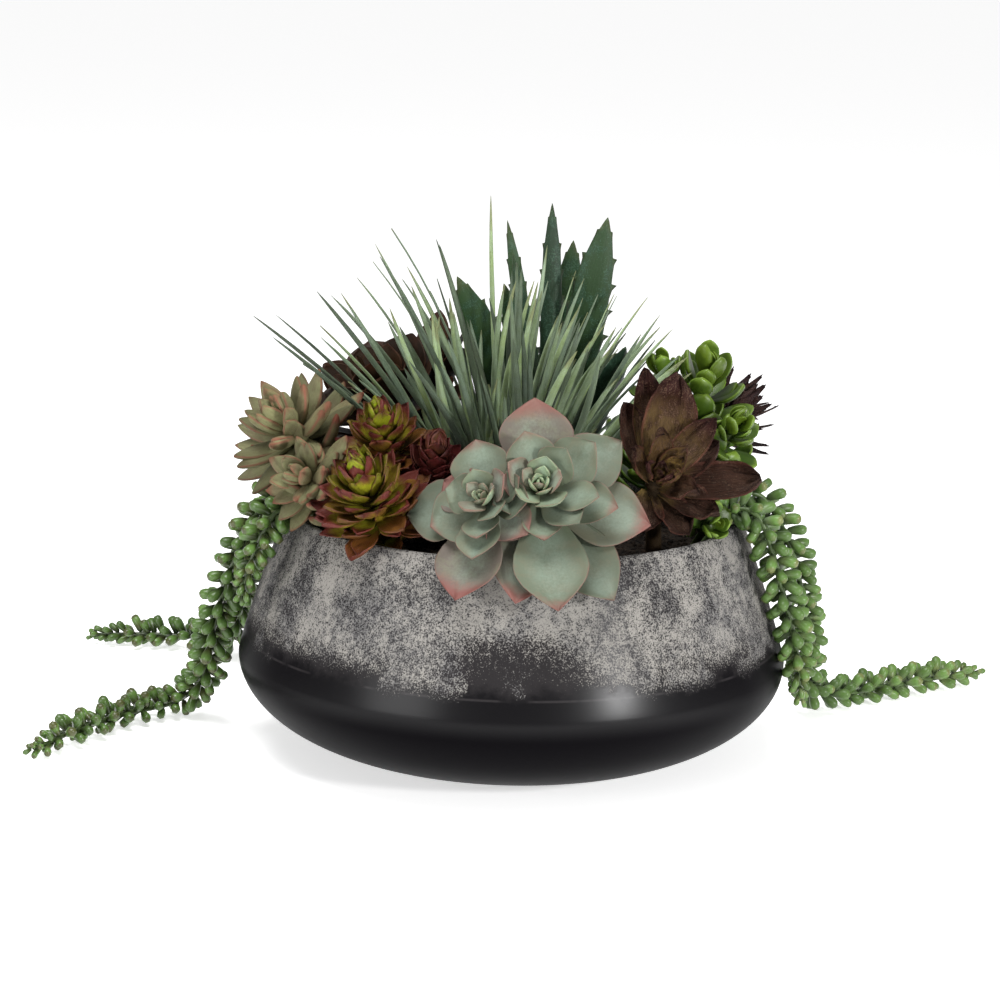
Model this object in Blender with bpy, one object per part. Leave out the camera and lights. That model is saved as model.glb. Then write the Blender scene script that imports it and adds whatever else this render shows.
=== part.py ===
# Succulent dish garden: a turned stoneware bowl, filled with potting mix and planted with rosettes, a
# tuft of narrow blades, a toothed aloe and trailing strands of beads that hang over the rim.
# Sizes below are in millimetres and degrees; MM turns them into Blender's metres.
# The origin is the centre of the bowl's foot, on the surface it stands on. +Z is up, and the front is -Y.

import math

import bmesh
import bpy
from mathutils import Matrix, Vector
from mathutils.bvhtree import BVHTree

MM = 0.001
GOLDEN_ANGLE = 137.508

# The bowl
BOWL_HEIGHT = 138.0
BELLY_RADIUS = 154.5
BELLY_HEIGHT = 55.0
FOOT_RADIUS = 53.0
RIM_RADIUS = 127.0
RIM_ROUND = 1.5
SHOULDER = 1.12
WALL = 4.5
FLOOR_THICKNESS = 6.0
BOWL_SEGMENTS = 36

# The potting mix
SOIL_EDGE_HEIGHT = 125.0
SOIL_CROWN = 5.0
FIT_GAP = 0.4

# How plants stand and keep clear of each other
ROOT_DEPTH = 9.0
STEM_SIDES = 5
LEAF_GAP = 0.35
FLOOR_GAP = 0.1
BENDS = (
    (0, 0, 1.0),
    (9, 0, 1.0),
    (-9, 0, 1.0),
    (0, 11, 1.0),
    (0, -11, 1.0),
    (18, 0, 1.0),
    (10, 14, 0.92),
    (10, -14, 0.92),
    (28, 0, 0.9),
    (38, 0, 0.9),
    (0, 0, 0.8),
    (14, 0, 0.72),
    (30, 0, 0.7),
)


for old in list(bpy.data.objects):
    bpy.data.objects.remove(old, do_unlink=True)


# Materials

def material(name, color, roughness):
    made = bpy.data.materials.new(name)
    made.use_nodes = True
    shader = made.node_tree.nodes["Principled BSDF"]
    shader.inputs["Base Color"].default_value = (*color, 1.0)
    shader.inputs["Roughness"].default_value = roughness
    shader.inputs["Metallic"].default_value = 0.0
    made.diffuse_color = (*color, 1.0)
    return made


GLAZE = material("stoneware", (0.16, 0.15, 0.145), 0.6)
MIX = material("potting_mix", (0.05, 0.038, 0.028), 0.95)
SAGE = material("powdery_sage", (0.36, 0.45, 0.35), 0.55)
RED_ROSETTE = material("red_rosette", (0.30, 0.13, 0.07), 0.45)
DUSTY = material("dusty_olive", (0.34, 0.34, 0.21), 0.6)
CHOCOLATE = material("chocolate_leaf", (0.06, 0.035, 0.025), 0.5)
DEEP_GREEN = material("deep_green", (0.06, 0.13, 0.07), 0.45)
MAROON = material("maroon_leaf", (0.17, 0.07, 0.045), 0.5)
APPLE = material("apple_green", (0.19, 0.33, 0.07), 0.4)
PURPLE = material("purple_leaf", (0.07, 0.035, 0.045), 0.5)
BLADE = material("grey_green_blade", (0.27, 0.36, 0.25), 0.6)
BEAD = material("bead_green", (0.13, 0.25, 0.08), 0.45)


# Mesh making. Every plant's trees of triangles are kept in placed, by name, for later ones to keep clear of.

placed = {}
root_holes = []


def mesh_object(name, points, faces, finish):
    """An object from points in millimetres, with its faces turned outwards."""
    data = bpy.data.meshes.new(name)
    data.from_pydata([Vector(p) * MM for p in points], [], faces)
    shape = bmesh.new()
    shape.from_mesh(data)
    bmesh.ops.recalc_face_normals(shape, faces=shape.faces)
    shape.to_mesh(data)
    shape.free()
    data.materials.append(finish)
    made = bpy.data.objects.new(name, data)
    bpy.context.scene.collection.objects.link(made)
    return made


def lofted(rings, start, end):
    """Points and triangles of a closed skin over rings of equal size, from a start point to an end point.
    Each four-sided patch is split from the ring's even corner, so both faces of a thin leaf split alike."""
    sides = len(rings[0])
    points = [start] + [p for ring in rings for p in ring] + [end]
    faces = []
    for side in range(sides):
        after = (side + 1) % sides
        faces.append((0, 1 + after, 1 + side))
        last = 1 + (len(rings) - 1) * sides
        faces.append((len(points) - 1, last + side, last + after))
        for ring in range(len(rings) - 1):
            a, b = 1 + ring * sides + side, 1 + ring * sides + after
            c, d = b + sides, a + sides
            faces += [(a, b, c), (a, c, d)] if side % 2 else [(a, b, d), (b, c, d)]
    return points, faces


def turned(name, profile, finish):
    """A solid of revolution, spun from a profile that starts and ends on the axis."""
    shape = bmesh.new()
    corners = [shape.verts.new(Vector((radius, 0, height)) * MM) for radius, height in profile]
    edges = [shape.edges.new(pair) for pair in zip(corners, corners[1:])]
    bmesh.ops.spin(
        shape,
        geom=corners + edges,
        cent=(0, 0, 0),
        axis=(0, 0, 1),
        angle=2 * math.pi,
        steps=BOWL_SEGMENTS,
        use_merge=True,
    )
    bmesh.ops.remove_doubles(shape, verts=shape.verts, dist=0.01 * MM)
    bmesh.ops.recalc_face_normals(shape, faces=shape.faces)
    data = bpy.data.meshes.new(name)
    shape.to_mesh(data)
    shape.free()
    data.materials.append(finish)
    data.shade_smooth()
    made = bpy.data.objects.new(name, data)
    bpy.context.scene.collection.objects.link(made)
    placed[name] = [tree_of([v.co / MM for v in data.vertices], [tuple(f.vertices) for f in data.polygons])]
    return made


def tube(path, radii, sides):
    """Points and triangles of a tube along a path, with a point at each end."""
    rings = []
    side = Vector((1, 0, 0))
    for k, at in enumerate(path):
        along = (path[min(k + 1, len(path) - 1)] - path[max(k - 1, 0)]).normalized()
        side = (side - along * side.dot(along)).normalized()
        up = along.cross(side)
        ring = []
        for corner in range(sides):
            turn = 2 * math.pi * corner / sides
            ring.append(at + (side * math.cos(turn) + up * math.sin(turn)) * radii[k])
        rings.append(ring)
    return lofted(rings, path[0], path[-1])


def tree_of(points, faces):
    return BVHTree.FromPolygons([Vector(p) for p in points], faces)


# Leaves

FLAT_SECTION = ((-1, 0), (0, 1), (1, 0), (0, -1))
KEEL_SECTION = ((-1, 0.35), (1, 0.35), (0, -1))


class Form:
    """How one kind of leaf is shaped. The outline gives (share of the length, share of the half width).
    Thickness is a share of the width. The dish raises the edges, and the curl, which is the slope at the
    foot and at the tip, bends the leaf upwards."""

    def __init__(self, outline, section, thickness, dish, curl, least=0.6):
        self.outline = outline
        self.section = section
        self.thickness = thickness
        self.dish = dish
        self.curl = curl
        self.least = least

    def spine(self, length, share):
        """Where the leaf's middle line is at a share of its length: along, up, and the slope there."""
        first, last = (math.radians(a) for a in self.curl)
        slope = first + (last - first) * share
        radius = length / (last - first)
        along = (math.sin(slope) - math.sin(first)) * radius
        rise = (math.cos(first) - math.cos(slope)) * radius
        return along, rise, slope

    def skin(self, length, width, frame, grow=0.0):
        """Points and triangles of one leaf, placed by its frame. Grow thickens it, to test for room."""
        rings = []
        for share, breadth in self.outline:
            along, rise, slope = self.spine(length, share)
            half = width / 2 * breadth + grow
            deep = max(width * self.thickness, self.least) / 2 * math.sqrt(breadth) + grow
            ring = []
            for across, up in self.section:
                lift = up * deep + self.dish * half * across * across
                point = Vector((along - lift * math.sin(slope), half * across, rise + lift * math.cos(slope)))
                ring.append(frame @ point)
            rings.append(ring)
        along, rise, slope = self.spine(length, 1.0)
        return lofted(rings, frame @ Vector((0, 0, 0)), frame @ Vector((along, 0, rise)))


TEETH_END = 0.95
NOTCH = 0.02


def toothed(outline, teeth, depth):
    """The outline with saw teeth: each tooth is a corner that stands out, with a notch after it."""

    def breadth_at(share):
        for (s0, b0), (s1, b1) in zip(outline, outline[1:]):
            if s0 <= share <= s1:
                return b0 + (b1 - b0) * (share - s0) / (s1 - s0)
        return outline[-1][1]

    made = [outline[0]]
    start = outline[0][0]
    for k in range(teeth):
        share = start + (TEETH_END - start) * (k + 1) / (teeth + 0.4)
        made.append((share, breadth_at(share) + depth))
        made.append((share + NOTCH, breadth_at(share + NOTCH) * 0.93))
    return tuple(made)


PETAL = Form(((0.14, 0.34), (0.48, 0.88), (0.76, 0.9)), FLAT_SECTION, 0.075, 0.2, (-14, 18), 1.8)
SPEAR = Form(((0.3, 0.68), (0.62, 1.0)), FLAT_SECTION, 0.18, 0.2, (-6, 26), 1.4)
FINGER = Form(((0.2, 0.66), (0.6, 1.0)), FLAT_SECTION, 0.7, 0.0, (-8, 10))
PADDLE = Form(((0.12, 0.34), (0.52, 0.92), (0.8, 0.9)), FLAT_SECTION, 0.07, 0.12, (-6, 14), 1.8)
SPOON = Form(((0.26, 0.42), (0.7, 1.0)), FLAT_SECTION, 0.55, 0.0, (-10, 24))
TONGUE = Form(((0.14, 0.5), (0.5, 1.0), (0.82, 0.78)), FLAT_SECTION, 0.1, 0.24, (-12, 26), 2.0)
BUD = Form(((0.55, 1.0),), FLAT_SECTION, 0.4, 0.0, (-4, 16), 1.4)
SAW = Form(toothed(((0.06, 0.7), (0.45, 1.0), (0.78, 0.86), (1.0, 0.1)), 3, 0.18),
           FLAT_SECTION, 0.1, 0.16, (-3, 5), 2.0)
THORNY = Form(toothed(((0.1, 0.6), (0.4, 1.0), (0.7, 0.7), (1.0, 0.1)), 3, 0.35),
              FLAT_SECTION, 0.16, 0.2, (-10, 12), 1.4)
RIBBON = Form(((0.1, 0.9), (0.7, 0.9)), KEEL_SECTION, 0.4, 0.0, (6, -16), 1.2)

# The share of a spiral from which its leaves are plain buds
BUDS_FROM = 0.62


class Leaf:
    """One leaf of a plant: its form, its size, and the frame that its foot stands in."""

    def __init__(self, form, length, width, frame):
        self.form = form
        self.length = length
        self.width = width
        self.frame = frame

    def skin(self, bend, grow=0.0):
        pitch, yaw, share = bend
        turn = Matrix.Rotation(math.radians(yaw), 4, "Z") @ Matrix.Rotation(-math.radians(pitch), 4, "Y")
        frame = self.frame @ turn
        return self.form.skin(self.length * share, self.width * share, frame, grow)


def head_frame(at, toward, spin=0.0):
    """A frame at a head: +Z points the way it faces, +Y up the picture and +X to the right."""
    turn = Vector(toward).to_track_quat("Z", "Y").to_matrix().to_4x4()
    return Matrix.Translation(Vector(at)) @ turn @ Matrix.Rotation(math.radians(spin), 4, "Z")


def leaf_frame(head, azimuth, pitch, out=0.0, up=0.0):
    """The frame of a leaf round a head: its foot stands out from the axis, and it rises by its pitch."""
    return (
        head
        @ Matrix.Rotation(math.radians(azimuth), 4, "Z")
        @ Matrix.Translation((out, 0, up))
        @ Matrix.Rotation(-math.radians(pitch), 4, "Y")
    )


def spiral(form, head, count, outer, inner, out, depth):
    """Leaves in a golden spiral, from the outermost, which stands lowest, to the centre. Outer and inner
    are the length, width and pitch of the first leaf and the last. The inner ones are plain buds."""
    leaves = []
    for k in range(count):
        share = k / (count - 1)
        length, width, pitch = (a + (b - a) * share for a, b in zip(outer, inner))
        frame = leaf_frame(head, k * GOLDEN_ANGLE, pitch, out * (1 - share), -depth * (1 - share))
        leaves.append(Leaf(form if share < BUDS_FROM else BUD, length, width, frame))
    return leaves


# Fusing a plant

def is_clear(name, skin):
    """Whether a skin stands above the floor and crosses no other plant, nor the bowl or the mix."""
    if min(point.z for point in skin[0]) < FLOOR_GAP:
        return False
    tree = tree_of(*skin)
    return not any(tree.overlap(other) for key, others in placed.items() if key != name for other in others)


def applied(body, operation, skins):
    """Joins the skins to a body, or cuts them from it, with one Boolean on a collection, and applies it.
    The Boolean is EXACT, and MANIFOLD where EXACT leaves an open edge."""
    pieces = bpy.data.collections.new(body.name + "_pieces")
    bpy.context.scene.collection.children.link(pieces)
    for k, skin in enumerate(skins):
        piece = mesh_object(f"{body.name}_{k}", *skin, body.data.materials[0])
        bpy.context.scene.collection.objects.unlink(piece)
        pieces.objects.link(piece)
    join = body.modifiers.new("join", "BOOLEAN")
    join.operation = operation
    join.operand_type = "COLLECTION"
    join.collection = pieces
    for solver in ("EXACT", "MANIFOLD"):
        join.solver = solver
        graph = bpy.context.evaluated_depsgraph_get()
        whole = bpy.data.meshes.new_from_object(body.evaluated_get(graph))
        if is_closed(whole):
            break
    body.modifiers.clear()
    body.data = whole
    for piece in list(pieces.objects):
        bpy.data.objects.remove(piece, do_unlink=True)
    bpy.data.collections.remove(pieces)


def is_closed(data):
    shape = bmesh.new()
    shape.from_mesh(data)
    closed = all(edge.is_manifold for edge in shape.edges)
    shape.free()
    return closed


def stem_skin(root, head, radius):
    """A stem from its root in the mix up to its head. Its hole is noted, to be cut in the mix later."""
    root, head = Vector(root), Vector(head)
    along = (head - root).normalized()
    foot = root - along * ROOT_DEPTH
    root_holes.append((foot - along * FIT_GAP, root + along * ROOT_DEPTH, radius + FIT_GAP))
    return tube([foot, root, head], [radius, radius, radius * 0.8], STEM_SIDES)


def core_skin(head, radius, height, sides=STEM_SIDES):
    """A low egg that the feet of the leaves are sunk in, centred on its head."""
    rings = []
    for level in (-0.55, 0.25):
        wide = radius * math.sqrt(1 - level * level)
        ring = []
        for k in range(sides):
            turn = 2 * math.pi * (k + level) / sides
            ring.append(head @ Vector((wide * math.cos(turn), wide * math.sin(turn), height * level)))
        rings.append(ring)
    return lofted(rings, head @ Vector((0, 0, -height)), head @ Vector((0, 0, height)))


def plant(name, bodies, leaves, finish):
    """Fuses a plant of its bodies and leaves. Each leaf takes the first bend in which it is clear of every
    other plant, and is left out where none is."""
    placed[name] = [tree_of(*skin) for skin in bodies]
    skins = list(bodies)
    for leaf in leaves:
        for bend in BENDS:
            if is_clear(name, leaf.skin(bend, LEAF_GAP)):
                skins.append(leaf.skin(bend))
                placed[name].append(tree_of(*skins[-1]))
                break
    body = mesh_object(name, *skins[0], finish)
    applied(body, "UNION", skins[1:])
    return body


# Bowl

def bowl_side(steps_low, steps_high, inset=0.0):
    """Radius and height up the wall: a quarter ellipse up to the belly, then a long slope to the rim."""
    side = []
    for k in range(steps_low + 1):
        turn = math.pi / 2 * k / steps_low
        side.append(
            (
                FOOT_RADIUS + (BELLY_RADIUS - FOOT_RADIUS) * math.sin(turn) - inset,
                BELLY_HEIGHT - (BELLY_HEIGHT - inset * FLOOR_THICKNESS / WALL) * math.cos(turn),
            )
        )
    for k in range(1, steps_high + 1):
        share = k / steps_high
        side.append(
            (
                BELLY_RADIUS - (BELLY_RADIUS - RIM_RADIUS) * share**SHOULDER - inset,
                BELLY_HEIGHT + (BOWL_HEIGHT - BELLY_HEIGHT) * share,
            )
        )
    return side


BOWL_INSIDE = bowl_side(2, 1, WALL)
BOWL_INSIDE[-1] = (RIM_RADIUS - WALL, BOWL_HEIGHT - RIM_ROUND)


def bowl():
    lip = [
        (RIM_RADIUS, BOWL_HEIGHT - RIM_ROUND),
        (RIM_RADIUS - RIM_ROUND, BOWL_HEIGHT),
        (RIM_RADIUS - WALL + RIM_ROUND, BOWL_HEIGHT),
    ]
    profile = [(0, 0)] + bowl_side(5, 3)[:-1] + lip + list(reversed(BOWL_INSIDE)) + [(0, FLOOR_THICKNESS)]
    return turned("bowl", profile, GLAZE)


def soil():
    """The potting mix: it fills the bowl to a low dome, a fit gap inside the bowl's own wall."""
    inset = 2 * FIT_GAP
    (low_radius, low), (mid_radius, mid), (belly_radius, belly), (rim_radius, rim) = BOWL_INSIDE
    slope = (belly_radius - rim_radius) / (rim - belly)
    edge = belly_radius - slope * (SOIL_EDGE_HEIGHT - belly) - inset
    profile = [
        (0, low + FIT_GAP),
        (low_radius - 3 * inset, low + FIT_GAP),
        (mid_radius - inset, mid + inset),
        (belly_radius - inset, belly),
        (edge, SOIL_EDGE_HEIGHT),
        (edge * 0.6, SOIL_EDGE_HEIGHT + SOIL_CROWN * 0.64),
        (0, SOIL_EDGE_HEIGHT + SOIL_CROWN),
    ]
    return turned("potting_mix", profile, MIX)


def root_the_plants(mix):
    """Cuts a plain hole in the mix for each stem."""
    cutters = [tube([low, high], [radius, radius], STEM_SIDES) for low, high, radius in root_holes]
    applied(mix, "DIFFERENCE", cutters)


# Echeveria: one large powdery rosette, with a small second head at its left.
# Each petal is its azimuth in the picture, its pitch, its length and its width.

ECHEVERIA_ROOT = (12, -80, 126)
ECHEVERIA_HEAD = (12, -112, 172)
ECHEVERIA_FACE = (0.0, -0.766, 0.643)
OFFSET_HEAD = (-16, -116, 167)
OFFSET_FACE = (-0.35, -0.72, 0.6)
ECHEVERIA_PETALS = (
    (-56, -12, 71, 36),
    (-100, -10, 64, 34),
    (-14, -4, 60, 40),
    (-81, 5, 72, 40),
    (36, 2, 53, 36),
    (162, 4, 38, 28),
    (94, 12, 52, 40),
    (-18, 14, 44, 27),
    (-85, 20, 36, 22),
    (37, 24, 39, 31),
    (-52, 26, 37, 22),
    (-22, 30, 38, 20),
    (108, 32, 32, 27),
    (48, 46, 28, 24),
    (158, 46, 25, 18),
    (-62, 44, 27, 19),
    (-125, 46, 24, 15),
    (74, 60, 20, 18),
    (-8, 58, 20, 14),
)
OFFSET_PETALS = (
    (-90, -8, 57, 38),
    (-165, -4, 46, 37),
    (162, 2, 29, 30),
    (-144, 4, 32, 34),
    (112, 18, 34, 33),
    (-80, 12, 38, 25),
    (-74, 24, 30, 21),
    (-177, 30, 22, 24),
    (-43, 36, 26, 18),
    (30, 46, 24, 19),
    (116, 50, 18, 18),
    (-100, 48, 20, 16),
    (-18, 58, 17, 12),
)


def ring_of(form, head, rows, out, low, high):
    """The leaves of one head, placed one by one from the lowest, at the back, to those round its heart.
    Each row is the leaf's azimuth in the picture, its pitch, its length and its width."""
    made = []
    for k, (azimuth, pitch, length, width) in enumerate(rows):
        up = low + (high - low) * k / len(rows)
        made.append(Leaf(form, length, width, leaf_frame(head, azimuth, pitch, out, up)))
    return made


def echeveria():
    main = head_frame(ECHEVERIA_HEAD, ECHEVERIA_FACE)
    second = head_frame(OFFSET_HEAD, OFFSET_FACE)
    bodies = [
        stem_skin(ECHEVERIA_ROOT, ECHEVERIA_HEAD, 5.0),
        core_skin(main, 7.0, 8.0),
        tube([main @ Vector((0, 0, -5)), second @ Vector((0, 0, -4))], [3.5, 3.5], STEM_SIDES),
        core_skin(second, 5.0, 6.0),
    ]
    leaves = ring_of(PETAL, main, ECHEVERIA_PETALS, 1.5, -6.0, 3.0)
    leaves += ring_of(PETAL, second, OFFSET_PETALS, 1.0, -4.0, 2.0)
    return plant("echeveria", bodies, leaves, SAGE)


# Maroon rosette: broad brown-red tongues at the right, in rows like the petals

MAROON_ROOT = (76, -54, 126)
MAROON_HEAD = (74, -74, 170)
MAROON_FACE = (0.3, -0.7, 0.65)
MAROON_LEAVES = (
    (-118, -6, 27, 22),
    (-64, -5, 32, 22),
    (26, 4, 48, 20),
    (-32, 2, 38, 20),
    (-4, 5, 60, 25),
    (102, 12, 46, 20),
    (84, 18, 62, 20),
    (69, 27, 60, 29),
    (33, 32, 48, 18),
    (-45, 36, 27, 17),
    (150, 42, 30, 15),
    (88, 52, 30, 15),
    (34, 56, 26, 14),
    (-40, 64, 20, 12),
)


def maroon_rosette():
    head = head_frame(MAROON_HEAD, MAROON_FACE)
    bodies = [stem_skin(MAROON_ROOT, MAROON_HEAD, 4.5), core_skin(head, 7.0, 8.0)]
    plant("maroon_rosette", bodies, ring_of(TONGUE, head, MAROON_LEAVES, 2.0, -6.0, 2.0), MAROON)


# Rosettes in a golden spiral. Outer and inner are the length, width and pitch of the first leaf and the last.

def rosette(name, form, finish, root, head, face, spin, count, outer, inner, out, depth, stem):
    """A stem with a head of leaves. Spin turns the head, out is how far its first leaves' feet stand from
    its axis, and depth is how far down the stem they start."""
    frame = head_frame(head, face, spin)
    bodies = [
        stem_skin(root, frame @ Vector((0, 0, -depth)), stem),
        tube([frame @ Vector((0, 0, -depth - 2)), frame @ Vector((0, 0, 2))], [out + 2.5, 2.5], STEM_SIDES),
    ]
    return plant(name, bodies, spiral(form, frame, count, outer, inner, out, depth), finish)


def red_rosettes():
    """Three dense red-edged heads at the left, each a tall cone of small leaves."""
    rosette(
        "red_rosette_front", SPEAR, RED_ROSETTE,
        root=(-60, -72, 126), head=(-82, -102, 176), face=(-0.25, -0.5, 0.83), spin=0,
        count=28, outer=(34, 16, -6), inner=(20, 10, 84),
        out=6.0, depth=34.0, stem=4.0,
    )
    rosette(
        "red_rosette_back", SPEAR, RED_ROSETTE,
        root=(-50, -46, 126), head=(-74, -58, 198), face=(-0.15, -0.45, 0.88), spin=40,
        count=22, outer=(28, 14, 6), inner=(17, 9, 84),
        out=5.0, depth=28.0, stem=3.5,
    )
    rosette(
        "red_rosette_small", SPEAR, RED_ROSETTE,
        root=(-30, -54, 126), head=(-43, -77, 187), face=(0.08, -0.6, 0.8), spin=80,
        count=22, outer=(27, 13, 6), inner=(16, 9, 82),
        out=4.0, depth=46.0, stem=2.8,
    )


def dusty_rosettes():
    """Heads of fat olive fingers: two at the left, one at the back."""
    rosette(
        "dusty_rosette_upper", FINGER, DUSTY,
        root=(-94, -22, 126), head=(-126, -34, 188), face=(-0.5, -0.5, 0.7), spin=10,
        count=18, outer=(45, 15, -20), inner=(24, 12, 82),
        out=3.5, depth=16.0, stem=2.6,
    )
    rosette(
        "dusty_rosette_lower", FINGER, DUSTY,
        root=(-92, -52, 126), head=(-114, -72, 168), face=(-0.5, -0.75, 0.42), spin=60,
        count=13, outer=(30, 14, -16), inner=(19, 10, 80),
        out=3.0, depth=12.0, stem=2.6,
    )
    rosette(
        "dusty_rosette_back", FINGER, DUSTY,
        root=(-26, 82, 126), head=(-32, 98, 154), face=(-0.2, 0.65, 0.72), spin=30,
        count=10, outer=(42, 19, -12), inner=(24, 13, 82),
        out=3.5, depth=14.0, stem=3.0,
    )


def chocolate_rosettes():
    """Dark flat paddles at the back on the left, in a wide head and a tall one."""
    rosette(
        "chocolate_rosette", PADDLE, CHOCOLATE,
        root=(-58, 44, 126), head=(-76, 36, 189), face=(-0.25, -0.25, 0.93), spin=15,
        count=9, outer=(54, 40, 14), inner=(30, 20, 72),
        out=4.0, depth=10.0, stem=4.5,
    )
    rosette(
        "chocolate_rosette_tall", PADDLE, CHOCOLATE,
        root=(-36, 46, 126), head=(-50, 48, 198), face=(0.0, -0.1, 1.0), spin=80,
        count=6, outer=(46, 24, 44), inner=(44, 19, 86),
        out=2.0, depth=6.0, stem=3.0,
    )


def green_rosettes():
    """Leafy stems of plump apple-green spoons: four at the right, one at the back."""
    rosette(
        "green_rosette_inner", SPOON, APPLE,
        root=(70, 4, 126), head=(81, 8, 216), face=(-0.2, -0.3, 0.93), spin=70,
        count=9, outer=(21, 14, 4), inner=(15, 10, 76),
        out=2.2, depth=16.0, stem=2.2,
    )
    rosette(
        "green_rosette_top", SPOON, APPLE,
        root=(88, 6, 126), head=(104, 2, 214), face=(0.1, -0.35, 0.93), spin=0,
        count=13, outer=(31, 18, 6), inner=(24, 14, 74),
        out=2.5, depth=26.0, stem=2.6,
    )
    rosette(
        "green_rosette_side", SPOON, APPLE,
        root=(98, -14, 126), head=(120, -20, 190), face=(0.4, -0.6, 0.7), spin=35,
        count=12, outer=(23, 16, -12), inner=(16, 11, 76),
        out=2.2, depth=20.0, stem=2.4,
    )
    rosette(
        "green_rosette_low", SPOON, APPLE,
        root=(98, -40, 126), head=(106, -60, 144), face=(0.5, -0.8, 0.35), spin=20,
        count=7, outer=(18, 13, -6), inner=(12, 8, 72),
        out=2.0, depth=5.0, stem=2.2,
    )
    rosette(
        "green_rosette_back", SPOON, APPLE,
        root=(56, 80, 126), head=(66, 96, 156), face=(0.35, 0.6, 0.7), spin=50,
        count=9, outer=(34, 24, -12), inner=(18, 13, 78),
        out=3.0, depth=12.0, stem=3.0,
    )


def purple_rosettes():
    """Narrow thorny leaves, almost black, at the far right."""
    rosette(
        "purple_rosette", THORNY, PURPLE,
        root=(104, 38, 126), head=(116, 28, 185), face=(0.72, -0.15, 0.68), spin=20,
        count=9, outer=(38, 14, 4), inner=(36, 12, 76),
        out=3.0, depth=12.0, stem=3.2,
    )


# Toothed aloe behind the blades. Each leaf is its azimuth seen from above, its pitch, its lean to the right
# in its own plane, its length and its width.

ALOE_ROOT = (20, 56, 129)
ALOE_STEM = 6.0
ALOE_CROWN_UP = 13.0
ALOE_LEAVES = (
    (90, 87, -1, 166, 13),
    (84, 82, 11, 164, 24),
    (-90, 90, 4, 144, 21),
    (96, 84, -11, 160, 10),
    (104, 80, -13, 145, 9),
    (120, 76, -23, 138, 18),
    (40, 56, 0, 112, 23),
    (125, 54, 0, 110, 24),
    (118, 75, -32, 156, 22),
)


def aloe():
    frame = head_frame(ALOE_ROOT, (0, 0.05, 1))
    crown = frame @ Matrix.Translation((0, 0, ALOE_CROWN_UP))
    bodies = [stem_skin(ALOE_ROOT, crown.to_translation(), ALOE_STEM), core_skin(crown, 12, 10)]
    leaves = []
    for azimuth, pitch, lean, length, width in ALOE_LEAVES:
        lean_turn = Matrix.Rotation(math.radians(lean if azimuth > 0 else -lean), 4, "Z")
        foot = leaf_frame(crown, azimuth, pitch, ALOE_STEM, -4.0)
        leaves.append(Leaf(SAW, length, width, foot @ lean_turn))
    return plant("toothed_aloe", bodies, leaves, DEEP_GREEN)


# Tuft of narrow blades in the middle, in a golden spiral that opens outwards from an oval foot. Each blade
# is rolled about its own length, so that those at the sides turn their broad face to the front.

TUFT_ROOT = (-4, -8, 130)
TUFT_STEM = 6.0
TUFT_CROWN_UP = 12.0
TUFT_BLADES = 72
TUFT_RADIUS = 15.5
TUFT_CORE = 20.0
TUFT_OVAL = 2.1
TUFT_PITCHES = (88, 48)
TUFT_FORWARD = 0.6
TUFT_TILT = 4.0
BLADE_LENGTHS = (156, 137)
BLADE_SPREAD = 0.16
BLADE_LEFTWARD = 0.12
BLADE_WIDTH = 5.4
BLADE_ROLL = 55.0


def blade_foot(crown, turn, share):
    """The frame of a blade's foot, on an oval round the crown. Its pitch falls from the middle outwards,
    and less towards the front and the back than to the sides."""
    around = math.radians(turn)
    sideways, forward = math.cos(around), math.sin(around)
    out = TUFT_RADIUS * share
    foot = Matrix.Translation((TUFT_OVAL * out * sideways, out * forward, 0))
    middle, edge = TUFT_PITCHES
    pitch = middle + (edge - middle) * share * math.hypot(sideways, TUFT_FORWARD * forward)
    roll = Matrix.Rotation(math.radians(BLADE_ROLL * sideways), 4, "X")
    return leaf_frame(crown @ foot, turn, pitch, 0, 2 - 5 * share) @ roll


def tuft():
    crown = head_frame(TUFT_ROOT, (0, 0, 1)) @ Matrix.Translation((0, 0, TUFT_CROWN_UP))
    crown = crown @ Matrix.Rotation(math.radians(TUFT_TILT), 4, "Y")
    oval = crown @ Matrix.Diagonal((TUFT_OVAL, 1, 1, 1))
    bodies = [stem_skin(TUFT_ROOT, crown.to_translation(), TUFT_STEM), core_skin(oval, TUFT_CORE, 9, 8)]
    middle, edge = BLADE_LENGTHS
    leaves = []
    for k in range(TUFT_BLADES):
        share = math.sqrt((k + 0.5) / TUFT_BLADES)
        length = (middle + (edge - middle) * share) * (1 - BLADE_SPREAD * (k * 7 % 5) / 4)
        length *= 1 + BLADE_LEFTWARD * math.cos(math.radians(k * GOLDEN_ANGLE))
        leaves.append(Leaf(RIBBON, length, BLADE_WIDTH, blade_foot(crown, k * GOLDEN_ANGLE, share)))
    return plant("blade_tuft", bodies, leaves, BLADE)


# Strands of beads: each hangs over the rim and then lies along the surface. Its stem is four-sided, with
# a bead raised from every other face, so that the beads of the next row stand between those of the last.

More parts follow.
